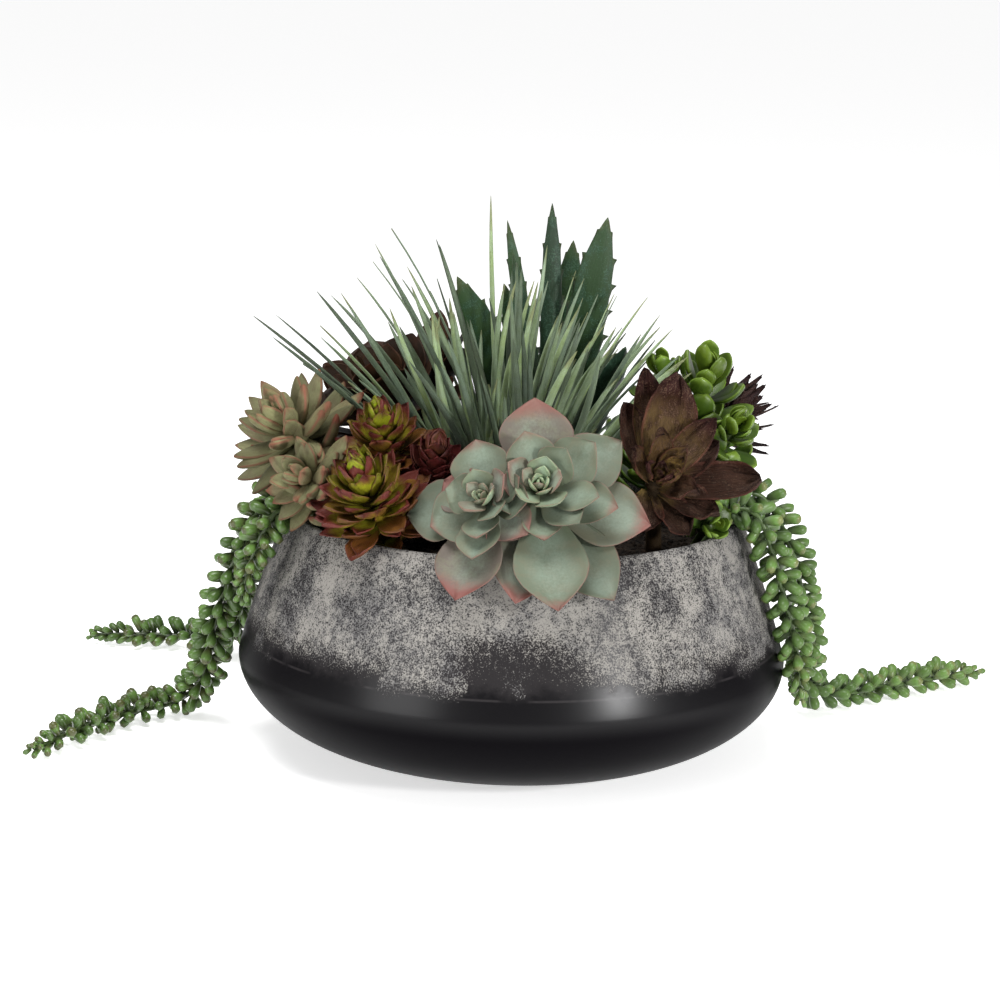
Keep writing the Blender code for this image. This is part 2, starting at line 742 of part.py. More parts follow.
BEAD_LENGTH = 12.5
BEAD_WIDTH = 7.6
BEAD_LEAN = 58.0
BEAD_WIDEST = 0.62
BEAD_SIZES = (1.0, 0.84, 0.7, 0.56)
ROW_STEP = 11.0
STRAND_RADIUS = 2.4
STRAND_ROOT_RADIUS = 1.6
PLAIN_ROWS = 3
TAPER_ROWS = 8
STRANDS = {
    "strand_left_long": (
        (-100, -20, 126), (-117, -24, 147), (-137, -25, 144), (-155, -17, 110), (-169, 1, 66),
        (-178, 30, 26), (-196, 36, 9), (-222, 12, 8), (-246, -24, 7.5), (-264, -58, 7),
    ),
    "strand_left_back": (
        (-98, 24, 126), (-114, 40, 147), (-130, 58, 143), (-148, 88, 104), (-162, 128, 56),
        (-174, 168, 16), (-196, 186, 8.5), (-232, 190, 8), (-264, 192, 7),
    ),
    "strand_left_short": (
        (-100, -44, 126), (-115, -54, 147), (-131, -61, 144), (-142, -65, 122), (-148, -68, 99),
    ),
    "strand_right_long": (
        (106, 8, 126), (122, 8, 147), (142, 10, 143), (160, 16, 108), (170, 34, 64),
        (176, 66, 22), (194, 86, 9), (224, 106, 8.5), (258, 130, 8), (290, 154, 7),
    ),
    "strand_right_short": (
        (104, -28, 126), (119, -36, 147), (135, -41, 143), (148, -40, 106), (159, -34, 66), (163, -24, 38),
    ),
}


def smooth_path(points, step):
    """Points a step apart along a smooth curve through the given ones (a Catmull-Rom spline)."""
    ends = [points[0] * 2 - points[1]] + points + [points[-1] * 2 - points[-2]]
    fine = []
    for a, b, c, d in zip(ends, ends[1:], ends[2:], ends[3:]):
        for k in range(16):
            t = k / 16
            bend = (2 * a - 5 * b + 4 * c - d) * t * t + (3 * b - a - 3 * c + d) * t * t * t
            fine.append(b + ((c - a) * t + bend) / 2)
    fine.append(points[-1])
    made, left = [fine[0]], step
    for a, b in zip(fine, fine[1:]):
        run = (b - a).length
        at = 0.0
        while run - at >= left:
            at += left
            made.append(a.lerp(b, at / run))
            left = step
        left -= run - at
    return made


def bead(face, along, size):
    """The widest ring and the tip of a bead raised from a face of the stem, leaning along the strand. The
    ring goes round as the face does, with its narrow top edge first, which is the outer one."""
    middle = sum(face, Vector()) / 4
    across = (face[1] - face[0]).normalized()
    out = across.cross(along).normalized()
    lean = out * math.sin(math.radians(BEAD_LEAN)) + along * math.cos(math.radians(BEAD_LEAN))
    deep = across.cross(lean)
    centre = middle + lean * BEAD_LENGTH * BEAD_WIDEST * size
    half = BEAD_WIDTH / 2 * size
    ring = [
        centre - across * half * 0.5 + deep * half,
        centre + across * half * 0.5 + deep * half,
        centre + across * half - deep * half * 0.3,
        centre - across * half - deep * half * 0.3,
    ]
    return ring, middle + lean * BEAD_LENGTH * size


def bead_faces(face, ring, tip):
    faces = []
    for a in range(4):
        b = (a + 1) % 4
        faces += [(face[a], face[b], ring[a]), (face[b], ring[b], ring[a]), (ring[a], ring[b], tip)]
    return faces


def strand(name, route):
    route = [Vector(p) for p in route]
    start = (route[1] - route[0]).normalized()
    foot = route[0] - start * ROOT_DEPTH
    hole = STRAND_ROOT_RADIUS + 2 * FIT_GAP
    root_holes.append((foot - start * FIT_GAP, route[0] + start * ROOT_DEPTH, hole))
    rows = smooth_path(route, ROW_STEP)
    rows.insert(0, foot)
    last = len(rows) - 1
    points = []
    side = Vector((0, 0, 1)).cross(start).normalized()
    for k, at in enumerate(rows):
        along = (rows[min(k + 1, last)] - rows[max(k - 1, 0)]).normalized()
        side = (side - along * side.dot(along)).normalized()
        up = along.cross(side)
        radius = STRAND_ROOT_RADIUS if k < PLAIN_ROWS or k == last else STRAND_RADIUS
        points += [at + side * radius, at + up * radius, at - side * radius, at - up * radius]
    points += [foot, rows[last] + along * STRAND_RADIUS * 2]
    faces = []
    for k in range(last):
        along = (rows[k + 1] - rows[k]).normalized()
        for a in range(4):
            b = (a + 1) % 4
            face = (4 * k + a, 4 * k + b, 4 * k + 4 + b, 4 * k + 4 + a)
            raised = None
            if k >= PLAIN_ROWS and (k + a) % 2:
                taper = min(1.0, (last + 3 - k) / TAPER_ROWS)
                raised = first_clear_bead(name, [points[c] for c in face], along, taper)
            if raised:
                ring = range(len(points), len(points) + 4)
                points += raised[0] + [raised[1]]
                faces += bead_faces(face, ring, ring[-1] + 1)
            else:
                faces += [(face[0], face[1], face[2]), (face[0], face[2], face[3])]
    for a in range(4):
        b = (a + 1) % 4
        faces += [(4 * len(rows), b, a), (4 * len(rows) + 1, 4 * last + a, 4 * last + b)]
    placed[name] = [tree_of(points, faces)]
    return mesh_object(name, points, faces, BEAD)


def first_clear_bead(name, face, along, taper):
    """The largest bead that is clear of all else, or None. Beads get smaller towards the tip."""
    for size in BEAD_SIZES:
        ring, tip = bead(face, along, size * taper)
        grown = [p + (p - sum(ring, Vector()) / 4).normalized() * LEAF_GAP for p in ring + [tip]]
        if is_clear(name, (face + grown, bead_faces(range(4), range(4, 8), 8))):
            return ring, tip
    return None


bowl()
mix = soil()
echeveria()
maroon_rosette()
red_rosettes()
dusty_rosettes()
chocolate_rosettes()
green_rosettes()
purple_rosettes()
aloe()
tuft()
for strand_name, strand_route in STRANDS.items():
    strand(strand_name, strand_route)
root_the_plants(mix)
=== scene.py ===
import math
import random

import bmesh
import bpy
from mathutils import Matrix, Vector
from mathutils.bvhtree import BVHTree


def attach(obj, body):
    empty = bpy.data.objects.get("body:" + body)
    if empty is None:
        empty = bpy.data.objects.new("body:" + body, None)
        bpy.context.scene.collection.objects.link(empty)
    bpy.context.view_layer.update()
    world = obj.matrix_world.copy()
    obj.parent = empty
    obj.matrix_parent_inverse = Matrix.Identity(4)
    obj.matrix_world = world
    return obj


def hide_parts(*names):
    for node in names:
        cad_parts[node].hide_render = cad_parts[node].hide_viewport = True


# Succulent dish garden: the looks of the planted bowl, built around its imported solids.
# Sizes are in millimetres and MM turns them into metres. The front, with the large rosette, is -Y.

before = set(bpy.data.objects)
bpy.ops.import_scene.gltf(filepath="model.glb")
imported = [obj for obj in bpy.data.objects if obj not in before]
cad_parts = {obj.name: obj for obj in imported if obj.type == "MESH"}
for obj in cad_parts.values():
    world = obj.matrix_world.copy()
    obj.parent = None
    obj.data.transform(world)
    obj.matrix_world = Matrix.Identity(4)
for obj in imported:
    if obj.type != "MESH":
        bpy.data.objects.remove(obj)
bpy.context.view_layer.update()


# Bowl
# A turned stoneware bowl on a flat foot. The lower half is glazed satin black, up to a faint seam at the
# belly. The shoulder was brushed with a thin chalky slip that has worn through to the charcoal body.

MM = 0.001
BOWL_HEIGHT = 138.0
BELLY_RADIUS = 154.5
BELLY_HEIGHT = 55.0
FOOT_RADIUS = 53.0
RIM_RADIUS = 127.0
SHOULDER = 1.12
WALL = 4.5
FLOOR_THICKNESS = 6.0
LIP_RISE = 1.8
LIP_STEPS = 8
FOOT_HOLLOW = 1.2
SEAM_HEIGHT = 68.0
BOWL_SEGMENTS = 160
SLIP_COVER = 0.13
PATCH_GRAIN = 15
BLOTCH_GRAIN = 48
CLUMP_GRAIN = 260
SPECKLE_GRAIN = 1150
BARE_SPOT = (3.0, 85.0)
BARE_SIZE = (36.0, 17.0)
LOW_WEAR = (92.0, 68.0)
POLISH_UP = (45.0, 60.0)
POLISH_FRONT = (-80.0, -135.0)
POLISH = 0.35
BLACK_GLAZE = (6, 5, 7)
CHARCOAL = (35, 33, 34)
SEAM_GREY = (50, 47, 48)
CHALK = (131, 128, 123)
COOL_CHALK = (98, 97, 97)


def seen(red, green, blue):
    """A colour as it looks on a screen, from 0 to 255, as the linear one that shaders take."""
    parts = [((c / 255 + 0.055) / 1.055) ** 2.4 if c > 10 else c / 3294.6 for c in (red, green, blue)]
    return (*parts, 1)


class Wire:
    """An output of a node in a tree. Arithmetic on wires adds Math nodes to that tree."""

    def __init__(self, tree, socket=None):
        self.tree = tree
        self.socket = socket

    def node(self, kind, settings=None, values=None, output=0):
        """Adds a node: its settings first, then the values or the wires of its sockets."""
        made = self.tree.nodes.new(kind)
        for key, value in (settings or {}).items():
            setattr(made, key, value)
        for key, value in (values or {}).items():
            if isinstance(value, Wire):
                self.tree.links.new(value.socket, made.inputs[key])
            else:
                made.inputs[key].default_value = value
        return Wire(self.tree, made.outputs[output])

    def maths(self, operation, *values):
        return self.node("ShaderNodeMath", {"operation": operation}, dict(enumerate(values)))

    def __add__(self, other):
        return self.maths("ADD", self, other)

    __radd__ = __add__

    def __sub__(self, other):
        return self.maths("SUBTRACT", self, other)

    def __rsub__(self, other):
        return self.maths("SUBTRACT", other, self)

    def __mul__(self, other):
        return self.maths("MULTIPLY", self, other)

    __rmul__ = __mul__

    def __truediv__(self, other):
        return self.maths("DIVIDE", self, other)

    def __pow__(self, other):
        return self.maths("POWER", self, other)

    def __abs__(self):
        return self.maths("ABSOLUTE", self)

    def sine(self):
        return self.maths("SINE", self)

    def cosine(self):
        return self.maths("COSINE", self)

    def rise(self, low, high):
        """0 below low, 1 above high, and smooth between; the other way round where low is above high."""
        kind = {"interpolation_type": "SMOOTHSTEP"}
        return self.node("ShaderNodeMapRange", kind, {0: self, 1: low, 2: high})

    def mix(self, first, second):
        """The first colour where this wire is 0 and the second where it is 1."""
        return self.node("ShaderNodeMix", {"data_type": "RGBA"}, {0: self, 6: first, 7: second}, 2)

    def times(self, factor):
        """This vector, with its length multiplied."""
        return self.node("ShaderNodeVectorMath", {"operation": "SCALE"}, {0: self, "Scale": factor})

    def plus(self, other):
        """The sum of this vector and another."""
        return self.node("ShaderNodeVectorMath", {"operation": "ADD"}, {0: self, 1: other})

    def stretched(self, x, y, z):
        """This vector with each part multiplied by its own number."""
        return self.node("ShaderNodeVectorMath", {"operation": "MULTIPLY"}, {0: self, 1: (x, y, z)})

    def parts(self):
        """The three parts of this vector."""
        split = self.node("ShaderNodeSeparateXYZ", {}, {0: self})
        return [Wire(self.tree, split.socket.node.outputs[k]) for k in range(3)]

    def noise(self, scale, detail=2.0, roughness=0.5):
        """Noise from 0 to 1 at this vector, about its own mean of a half."""
        sockets = {"Vector": self, "Scale": scale, "Detail": detail, "Roughness": roughness}
        return self.node("ShaderNodeTexNoise", {}, sockets)


class Finish:
    """A material on one Principled shader, whose fixed values are set on its own sockets."""

    def __init__(self, name, specular=0.5, **fixed):
        self.material = bpy.data.materials.new(name)
        self.material.use_nodes = True
        self.tree = self.material.node_tree
        self.shader = self.tree.nodes["Principled BSDF"]
        for key, value in fixed.items():
            self.shader.inputs[key.replace("_", " ").title()].default_value = value
        self.shader.inputs["Specular IOR Level"].default_value = specular
        self.start = Wire(self.tree)
        self.place = self.start.node("ShaderNodeTexCoord", output="Object")

    def set(self, color, roughness=None, height=None, depth=0.0002, coat=None):
        """Links the colour, the roughness, the clear coat and a bump of a height from 0 to 1, as deep as
        depth in metres."""
        for wire, socket in ((color, "Base Color"), (roughness, "Roughness"), (coat, "Coat Weight")):
            if wire is not None:
                self.tree.links.new(wire.socket, self.shader.inputs[socket])
        if height is not None:
            sockets = {"Strength": 1.0, "Distance": depth, "Height": height}
            bump = self.start.node("ShaderNodeBump", {}, sockets)
            self.tree.links.new(bump.socket, self.shader.inputs["Normal"])
        return self.material


def glaze():
    """Black below the seam and charcoal above it, under a slip that four grains of noise wear through. One
    bare patch shows at the front, and only the front above the foot is polished."""
    finish = Finish("worn_slip_over_black_glaze", specular=0.02, coat_roughness=0.3)
    across, away, up = finish.place.parts()
    patches = finish.place.noise(PATCH_GRAIN, 2, 0.5)
    blotches = finish.place.stretched(1, 1, 0.7).noise(BLOTCH_GRAIN, 3, 0.6)
    clumps = finish.place.noise(CLUMP_GRAIN, 3, 0.7)
    speckle = finish.place.noise(SPECKLE_GRAIN, 2, 0.7)
    edge = SEAM_HEIGHT * MM + (patches - 0.5) * 0.014 + (blotches - 0.5) * 0.02 + (clumps - 0.5) * 0.012
    reach = (up - edge).rise(-0.003, 0.008)
    low = up.rise(LOW_WEAR[0] * MM, LOW_WEAR[1] * MM) * (patches + (blotches - 0.5) * 0.8).rise(0.47, 0.56)
    worn = (clumps - 0.5) * 1.2 + (speckle - 0.5) * 3.4 + (blotches - 0.5) * 1.4 + (patches - 0.5) * 1.0
    side = (across - BARE_SPOT[0] * MM) / (BARE_SIZE[0] * MM)
    tall = (up - BARE_SPOT[1] * MM) / (BARE_SIZE[1] * MM)
    bare = (1 - side * side - tall * tall + (blotches - 0.5) * 2.4).rise(-0.3, 1.0) * away.rise(0.0, -0.05)
    cover = worn + SLIP_COVER - low * 0.75 - (1 - reach) * 0.8 - bare * 0.7
    slip = cover.rise(-0.4, 0.4) * reach.rise(0.0, 0.2)
    seam = (up - SEAM_HEIGHT * MM).rise(-0.0009, -0.0002) * (up - SEAM_HEIGHT * MM).rise(0.0009, 0.0002)
    body = reach.mix(seen(*BLACK_GLAZE), seen(*CHARCOAL))
    body = (seam * blotches.rise(0.4, 0.6) * 0.5).mix(body, seen(*SEAM_GREY))
    dusting = (blotches * 0.5 + clumps * 0.3 + speckle * 0.2).rise(0.4, 0.6)
    chalk = dusting.mix(seen(*COOL_CHALK), seen(*CHALK))
    color = slip.mix(body, chalk)
    roughness = 0.36 + blotches * 0.08 + slip * 0.36 + reach * 0.16
    polish = up.rise(POLISH_UP[0] * MM, POLISH_UP[1] * MM)
    polish = polish * away.rise(POLISH_FRONT[0] * MM, POLISH_FRONT[1] * MM) * (1 - slip) * (1 - reach * 0.6)
    return finish.set(color, roughness, slip * 0.6 + clumps * 0.4 * reach, 0.0003, polish * POLISH)


def bowl_side(steps, radius_in=0.0, floor=0.0):
    """Radius and height up the wall: a quarter ellipse up to the belly, then a long slope to the rim."""
    side = []
    for k in range(steps + 1):
        turn = math.pi / 2 * k / steps
        low = FOOT_RADIUS + (BELLY_RADIUS - FOOT_RADIUS) * math.sin(turn)
        side.append((low - radius_in, BELLY_HEIGHT - (BELLY_HEIGHT - floor) * math.cos(turn)))
    for k in range(1, steps + 1):
        share = k / steps
        high = BELLY_RADIUS - (BELLY_RADIUS - RIM_RADIUS) * share**SHOULDER
        side.append((high - radius_in, BELLY_HEIGHT + (BOWL_HEIGHT - BELLY_HEIGHT) * share))
    return side


def new_object(name, data):
    made = bpy.data.objects.new(name, data)
    bpy.context.scene.collection.objects.link(made)
    return made


def turned(name, profile, material):
    """A solid of revolution from a profile that starts and ends on the axis."""
    shape = bmesh.new()
    corners = [shape.verts.new(Vector((radius, 0, height)) * MM) for radius, height in profile]
    edges = [shape.edges.new(pair) for pair in zip(corners, corners[1:])]
    bmesh.ops.spin(
        shape,
        geom=corners + edges,
        cent=(0, 0, 0),
        axis=(0, 0, 1),
        angle=2 * math.pi,
        steps=BOWL_SEGMENTS,
        use_merge=True,
    )
    bmesh.ops.remove_doubles(shape, verts=shape.verts, dist=0.01 * MM)
    bmesh.ops.recalc_face_normals(shape, faces=shape.faces)
    data = bpy.data.meshes.new(name)
    shape.to_mesh(data)
    shape.free()
    data.shade_smooth()
    data.materials.append(material)
    return new_object(name, data)


def finished(piece, node):
    """A piece that stands for a CAD node of the one body."""
    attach(piece, "root")
    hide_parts(node)


def stoneware_bowl():
    lip = []
    for k in range(LIP_STEPS + 1):
        turn = math.pi * k / LIP_STEPS
        radius = RIM_RADIUS - WALL / 2 + WALL / 2 * math.cos(turn)
        lip.append((radius, BOWL_HEIGHT - LIP_RISE + LIP_RISE * math.sin(turn)))
    outside = bowl_side(30)[:-1]
    inside = [point for point in bowl_side(16, WALL, FLOOR_THICKNESS) if point[1] < BOWL_HEIGHT - 4]
    foot = [(0, FOOT_HOLLOW), (FOOT_RADIUS - 9, FOOT_HOLLOW)]
    foot += [(FOOT_RADIUS - 7.5, 0.2), (FOOT_RADIUS - 5, 0), (FOOT_RADIUS - 1, 0)]
    profile = foot + outside + lip + inside[::-1] + [(0, FLOOR_THICKNESS)]
    finished(turned("stoneware_bowl", profile, glaze()), "bowl")


stoneware_bowl()


# Potting mix
# Loose dark compost that fills the bowl to a low dome, with crumbs of grit strewn over its top. The
# plants' stems stand in it.

SOIL_EDGE_HEIGHT = 125.0
SOIL_CROWN = 5.0
SOIL_GAP = 0.6
SOIL_BEVEL = 1.6
SOIL_STEPS = 40
CRUMBS = 5200
CRUMB_SIZES = (0.9, 4.2)
CRUMB_TURN = 6.3


def compost():
    finish = Finish("dark_compost", specular=0.2)
    lumps = finish.place.noise(230, 4, 0.7)
    bits = finish.place.noise(700, 2, 0.6)
    color = lumps.rise(0.35, 0.68).mix(seen(16, 12, 9), seen(42, 33, 25))
    color = bits.rise(0.66, 0.72).mix(color, seen(76, 64, 50))
    return finish.set(color, 0.85 + bits * 0.1, lumps * 0.6 + bits * 0.4, 0.0012)


def modified(name, data, tree, inputs):
    """A plain mesh object from what a tree makes of some mesh data, with the tree's inputs set by name."""
    host = new_object(name, data)
    grow = host.modifiers.new("grow", "NODES")
    grow.node_group = tree
    for item in tree.interface.items_tree:
        if item.name in inputs:
            grow[item.identifier] = inputs[item.name]
    graph = bpy.context.evaluated_depsgraph_get()
    made = bpy.data.meshes.new_from_object(host.evaluated_get(graph))
    host.modifiers.clear()
    host.data = made
    return host


def new_tree(name, sockets):
    """A Geometry Nodes tree with named inputs, its start wire, and the wires of those inputs."""
    tree = bpy.data.node_groups.new(name, "GeometryNodeTree")
    tree.interface.new_socket("Geometry", in_out="OUTPUT", socket_type="NodeSocketGeometry")
    for label, kind in sockets:
        tree.interface.new_socket(label, in_out="INPUT", socket_type="NodeSocket" + kind)
    source = tree.nodes.new("NodeGroupInput")
    return tree, Wire(tree), [Wire(tree, source.outputs[label]) for label, kind in sockets]


def ends_in(tree, geometry):
    out = tree.nodes.new("NodeGroupOutput")
    tree.links.new(geometry.socket, out.inputs[0])
    return tree


def crumb_tree():
    """Scatters crumbs of one shape over the dome, each turned and sized at random, and keeps the dome."""
    tree, start, (dome, crumb, count, low, high, seed, material) = new_tree(
        "crumbs",
        (
            ("Dome", "Geometry"),
            ("Crumb", "Object"),
            ("Density", "Float"),
            ("Smallest", "Float"),
            ("Largest", "Float"),
            ("Seed", "Int"),
            ("Finish", "Material"),
        ),
    )
    height = start.node("GeometryNodeInputPosition").parts()[2]
    top = height.maths("GREATER_THAN", height, (SOIL_EDGE_HEIGHT - 2) * MM)
    spots = start.node(
        "GeometryNodeDistributePointsOnFaces", {},
        {"Mesh": dome, "Selection": top, "Density": count, "Seed": seed},
    )
    turn = start.node(
        "FunctionNodeRandomValue", {"data_type": "FLOAT_VECTOR"},
        {0: (0, 0, 0), 1: (CRUMB_TURN,) * 3, "Seed": seed},
    )
    size = start.node("FunctionNodeRandomValue", {}, {2: low, 3: high, "Seed": seed}, 1)
    shape = start.node("GeometryNodeObjectInfo", {}, {0: crumb}, "Geometry")
    strewn = start.node(
        "GeometryNodeInstanceOnPoints", {},
        {"Points": spots, "Instance": shape, "Rotation": turn, "Scale": size},
    )
    both = start.node("GeometryNodeJoinGeometry", {}, {0: dome})
    tree.links.new(strewn.socket, both.socket.node.inputs[0])
    real = start.node("GeometryNodeRealizeInstances", {}, {0: both})
    painted = start.node("GeometryNodeSetMaterial", {}, {"Geometry": real, "Material": material})
    return ends_in(tree, painted)


def crumb_shape(seed):
    """An uneven pebble of about one unit across."""
    draw = random.Random(seed)
    shape = bmesh.new()
    bmesh.ops.create_icosphere(shape, subdivisions=1, radius=0.5)
    for corner in shape.verts:
        corner.co *= draw.uniform(0.7, 1.15)
        corner.co.z *= 0.6
    data = bpy.data.meshes.new("crumb")
    shape.to_mesh(data)
    shape.free()
    return new_object("crumb", data)


def potting_mix():
    low = FLOOR_THICKNESS + SOIL_GAP
    wall = [(r - SOIL_GAP, z) for r, z in bowl_side(12, WALL, low) if z < SOIL_EDGE_HEIGHT - 1]
    edge = wall[-1][0] - SOIL_BEVEL
    dome = []
    for k in range(SOIL_STEPS):
        share = k / SOIL_STEPS
        dome.append((edge * (1 - share), SOIL_EDGE_HEIGHT + SOIL_CROWN * (1 - (1 - share) ** 2)))
    profile = [(0, low)] + wall + dome + [(0, SOIL_EDGE_HEIGHT + SOIL_CROWN)]
    base = turned("soil_dome", profile, None)
    crumb = crumb_shape(4)
    inputs = {
        "Crumb": crumb,
        "Density": CRUMBS / (math.pi * (edge * MM) ** 2),
        "Smallest": CRUMB_SIZES[0] * MM,
        "Largest": CRUMB_SIZES[1] * MM,
        "Seed": 11,
        "Finish": compost(),
    }
    soil = modified("potting_mix_top", base.data, crumb_tree(), inputs)
    bpy.data.objects.remove(base)
    bpy.data.objects.remove(crumb)
    finished(soil, "potting_mix")


potting_mix()


# Large rosette
# An echeveria with thick, powdery blue-green petals that end in a short point and blush pink along their
# edges, with a smaller second head at its left. Its short stem is sunk in the mix.

FLAT = ((-1, 0), (0, 1), (1, 0), (0, -1))
KEEL = ((-1, 0.35), (1, 0.35), (0, -1))
GOLDEN_ANGLE = 137.508
LEAF_GAP = 0.35
FLOOR_GAP = 1.5
ROOT_DEPTH = 9
BENDS = (
    (0, 0, 1.0),
    (9, 0, 1.0),
    (-9, 0, 1.0),
    (0, 11, 1.0),
    (0, -11, 1.0),
    (18, 0, 1.0),
    (10, 14, 0.92),
    (10, -14, 0.92),
    (28, 0, 0.9),
    (38, 0, 0.9),
    (0, 0, 0.8),
    (14, 0, 0.72),
    (30, 0, 0.7),
)


def tree_of_node(node):
    data = node.data
    faces = [tuple(face.vertices) for face in data.polygons]
    return BVHTree.FromPolygons([v.co / MM for v in data.vertices], faces)


solids = {name: tree_of_node(node) for name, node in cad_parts.items()}
grown_plants = {}


def is_clear(name, points, faces, added):
    """Whether a skin stands above the floor and crosses none of the other plants, the bowl or the mix. A
    leaf that the solids don't have in that form also keeps clear of the plants that are already grown."""
    if min(point.z for point in points) < FLOOR_GAP:
        return False
    skin = BVHTree.FromPolygons(points, faces)
    others = [tree for key, tree in solids.items() if key != name]
    if added:
        others += grown_plants.values()
    return not any(skin.overlap(other) for other in others)


def loft_faces(rings, sides):
    """Triangles of a skin over rings, whose first point and last point close its ends."""
    faces = []
    last = 1 + (rings - 1) * sides
    for side in range(sides):
        after = (side + 1) % sides
        faces += [(0, 1 + after, 1 + side), (1 + rings * sides, last + side, last + after)]
        for ring in range(rings - 1):
            a, b = 1 + ring * sides + side, 1 + ring * sides + after
            faces += [(a, b, b + sides), (a, b + sides, a + sides)]
    return faces


def along_stops(stops, share):
    """A smooth curve through (share, value) stops that doesn't overshoot them."""
    steps = [(b1 - b0) / (s1 - s0) for (s0, b0), (s1, b1) in zip(stops, stops[1:])]
    slopes = [steps[0]]
    for before, after in zip(steps, steps[1:]):
        slopes.append(0.0 if before * after <= 0 else 2 * before * after / (before + after))
    slopes.append(steps[-1])
    k = max(i for i in range(len(steps)) if stops[i][0] <= share or i == 0)
    (s0, b0), (s1, b1) = stops[k], stops[k + 1]
    wide = s1 - s0
    t = (share - s0) / wide
    start = (2 * t**3 - 3 * t * t + 1) * b0 + (t**3 - 2 * t * t + t) * wide * slopes[k]
    return start + (3 * t * t - 2 * t**3) * b1 + (t**3 - t * t) * wide * slopes[k + 1]


class Form:
    """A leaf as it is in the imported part. The outline gives (share of the length, share of the half width),
    thickness is a share of the width, the dish raises the edges, and the curl is the slope at the foot and
    at the tip."""

    def __init__(self, outline, section, thickness, dish, curl, least=0.6):
        self.outline = outline
        self.section = section
        self.thickness = thickness
        self.dish = dish
        self.curl = [math.radians(angle) for angle in curl]
        self.least = least

    def skin(self, length, width, place, grow):
        """Points and triangles of the solid leaf, placed by its frame and thickened to leave room."""
        first, last = self.curl
        radius = length / (last - first)
        points = []
        for share, breadth in ((0, 0), *self.outline, (1, 0)):
            slope = first + (last - first) * share
            along = (math.sin(slope) - math.sin(first)) * radius
            rise = (math.cos(first) - math.cos(slope)) * radius
            if not breadth:
                points.append(place @ Vector((along, 0, rise)))
                continue
            half = width / 2 * breadth + grow
            deep = max(width * self.thickness, self.least) / 2 * math.sqrt(breadth) + grow
            for across, up in self.section:
                lift = up * deep + self.dish * half * across * across
                spot = (along - lift * math.sin(slope), half * across, rise + lift * math.cos(slope))
                points.append(place @ Vector(spot))
        return points, loft_faces(len(self.outline), len(self.section))


TOOTH = ((0.45, 0), (0.78, 0.25), (1.0, 1), (1.03, 0))
TEETH_FROM = 0.05
TEETH_SPAN = 0.9
LAST_RING = 0.985
LEAST_BREADTH = 0.02
units = []


class Shape:
    """The shown mesh of a kind of leaf. Stops is its smooth outline, top and keel say how thick it is above
    and below its middle, a power over 1 sharpens its margins, and teeth is how many it has and how far
    they stand out, as a share of its breadth there. Wave ruffles it, sway bends it to one side and cup
    raises its margins. Each point keeps its place: share of the length, across from -1 to 1, and height."""

    def __init__(self, form, stops, rings=12, sides=12, top=1.0, keel=1.0, power=1.0, wave=0.0, sway=0.0,
                 cup=0.0, teeth=None):
        self.form = form
        self.cup = cup
        self.wave = wave
        self.sway = sway
        spikes = [(math.sin(math.pi / 2 * (k + 0.5) / rings), 0.0) for k in range(rings)]
        if teeth:
            count, depth = teeth
            step = TEETH_SPAN / count
            spikes = []
            for k in range(count):
                start = TEETH_FROM + step * k
                spikes += [(start + step * at, depth * out) for at, out in TOOTH]
            spikes.append((LAST_RING, 0.0))
        places, wides = [(0, 0, 0)], [max(LEAST_BREADTH, stops[0][1])]
        for share, spike in spikes:
            breadth = max(LEAST_BREADTH, along_stops(stops, share))
            for side in range(sides):
                turn = 2 * math.pi * side / sides
                across, high = math.cos(turn), math.sin(turn)
                if abs(across) > 0.999:
                    across *= 1 + spike
                high = math.copysign(abs(high) ** power, high) * (top if high > 0 else keel)
                places.append((share, across, high))
                wides.append(breadth)
        places.append((1, 0, 0))
        wides.append(0.0)
        data = bpy.data.meshes.new("leaf")
        data.from_pydata(places, [], loft_faces(len(spikes), sides))
        stored(data, "place", "FLOAT_VECTOR", places)
        stored(data, "breadth", "FLOAT", wides)
        self.unit = new_object("leaf", data)
        units.append(self.unit)


def stored(data, name, kind, values):
    """Keeps one value for each point of some mesh data, by name."""
    layer = data.attributes.new(name, kind, "POINT")
    for item, value in zip(layer.data, values):
        if kind == "FLOAT":
            item.value = value
        else:
            item.vector = value


RUFFLE_GRAIN = (2.4, 1.5, 0)
RUFFLE_SHIFTS = (37, 19)
LEAN_SHIFT = 61
LEAN_SHARE = 0.16
SWAY_BACK = 0.4


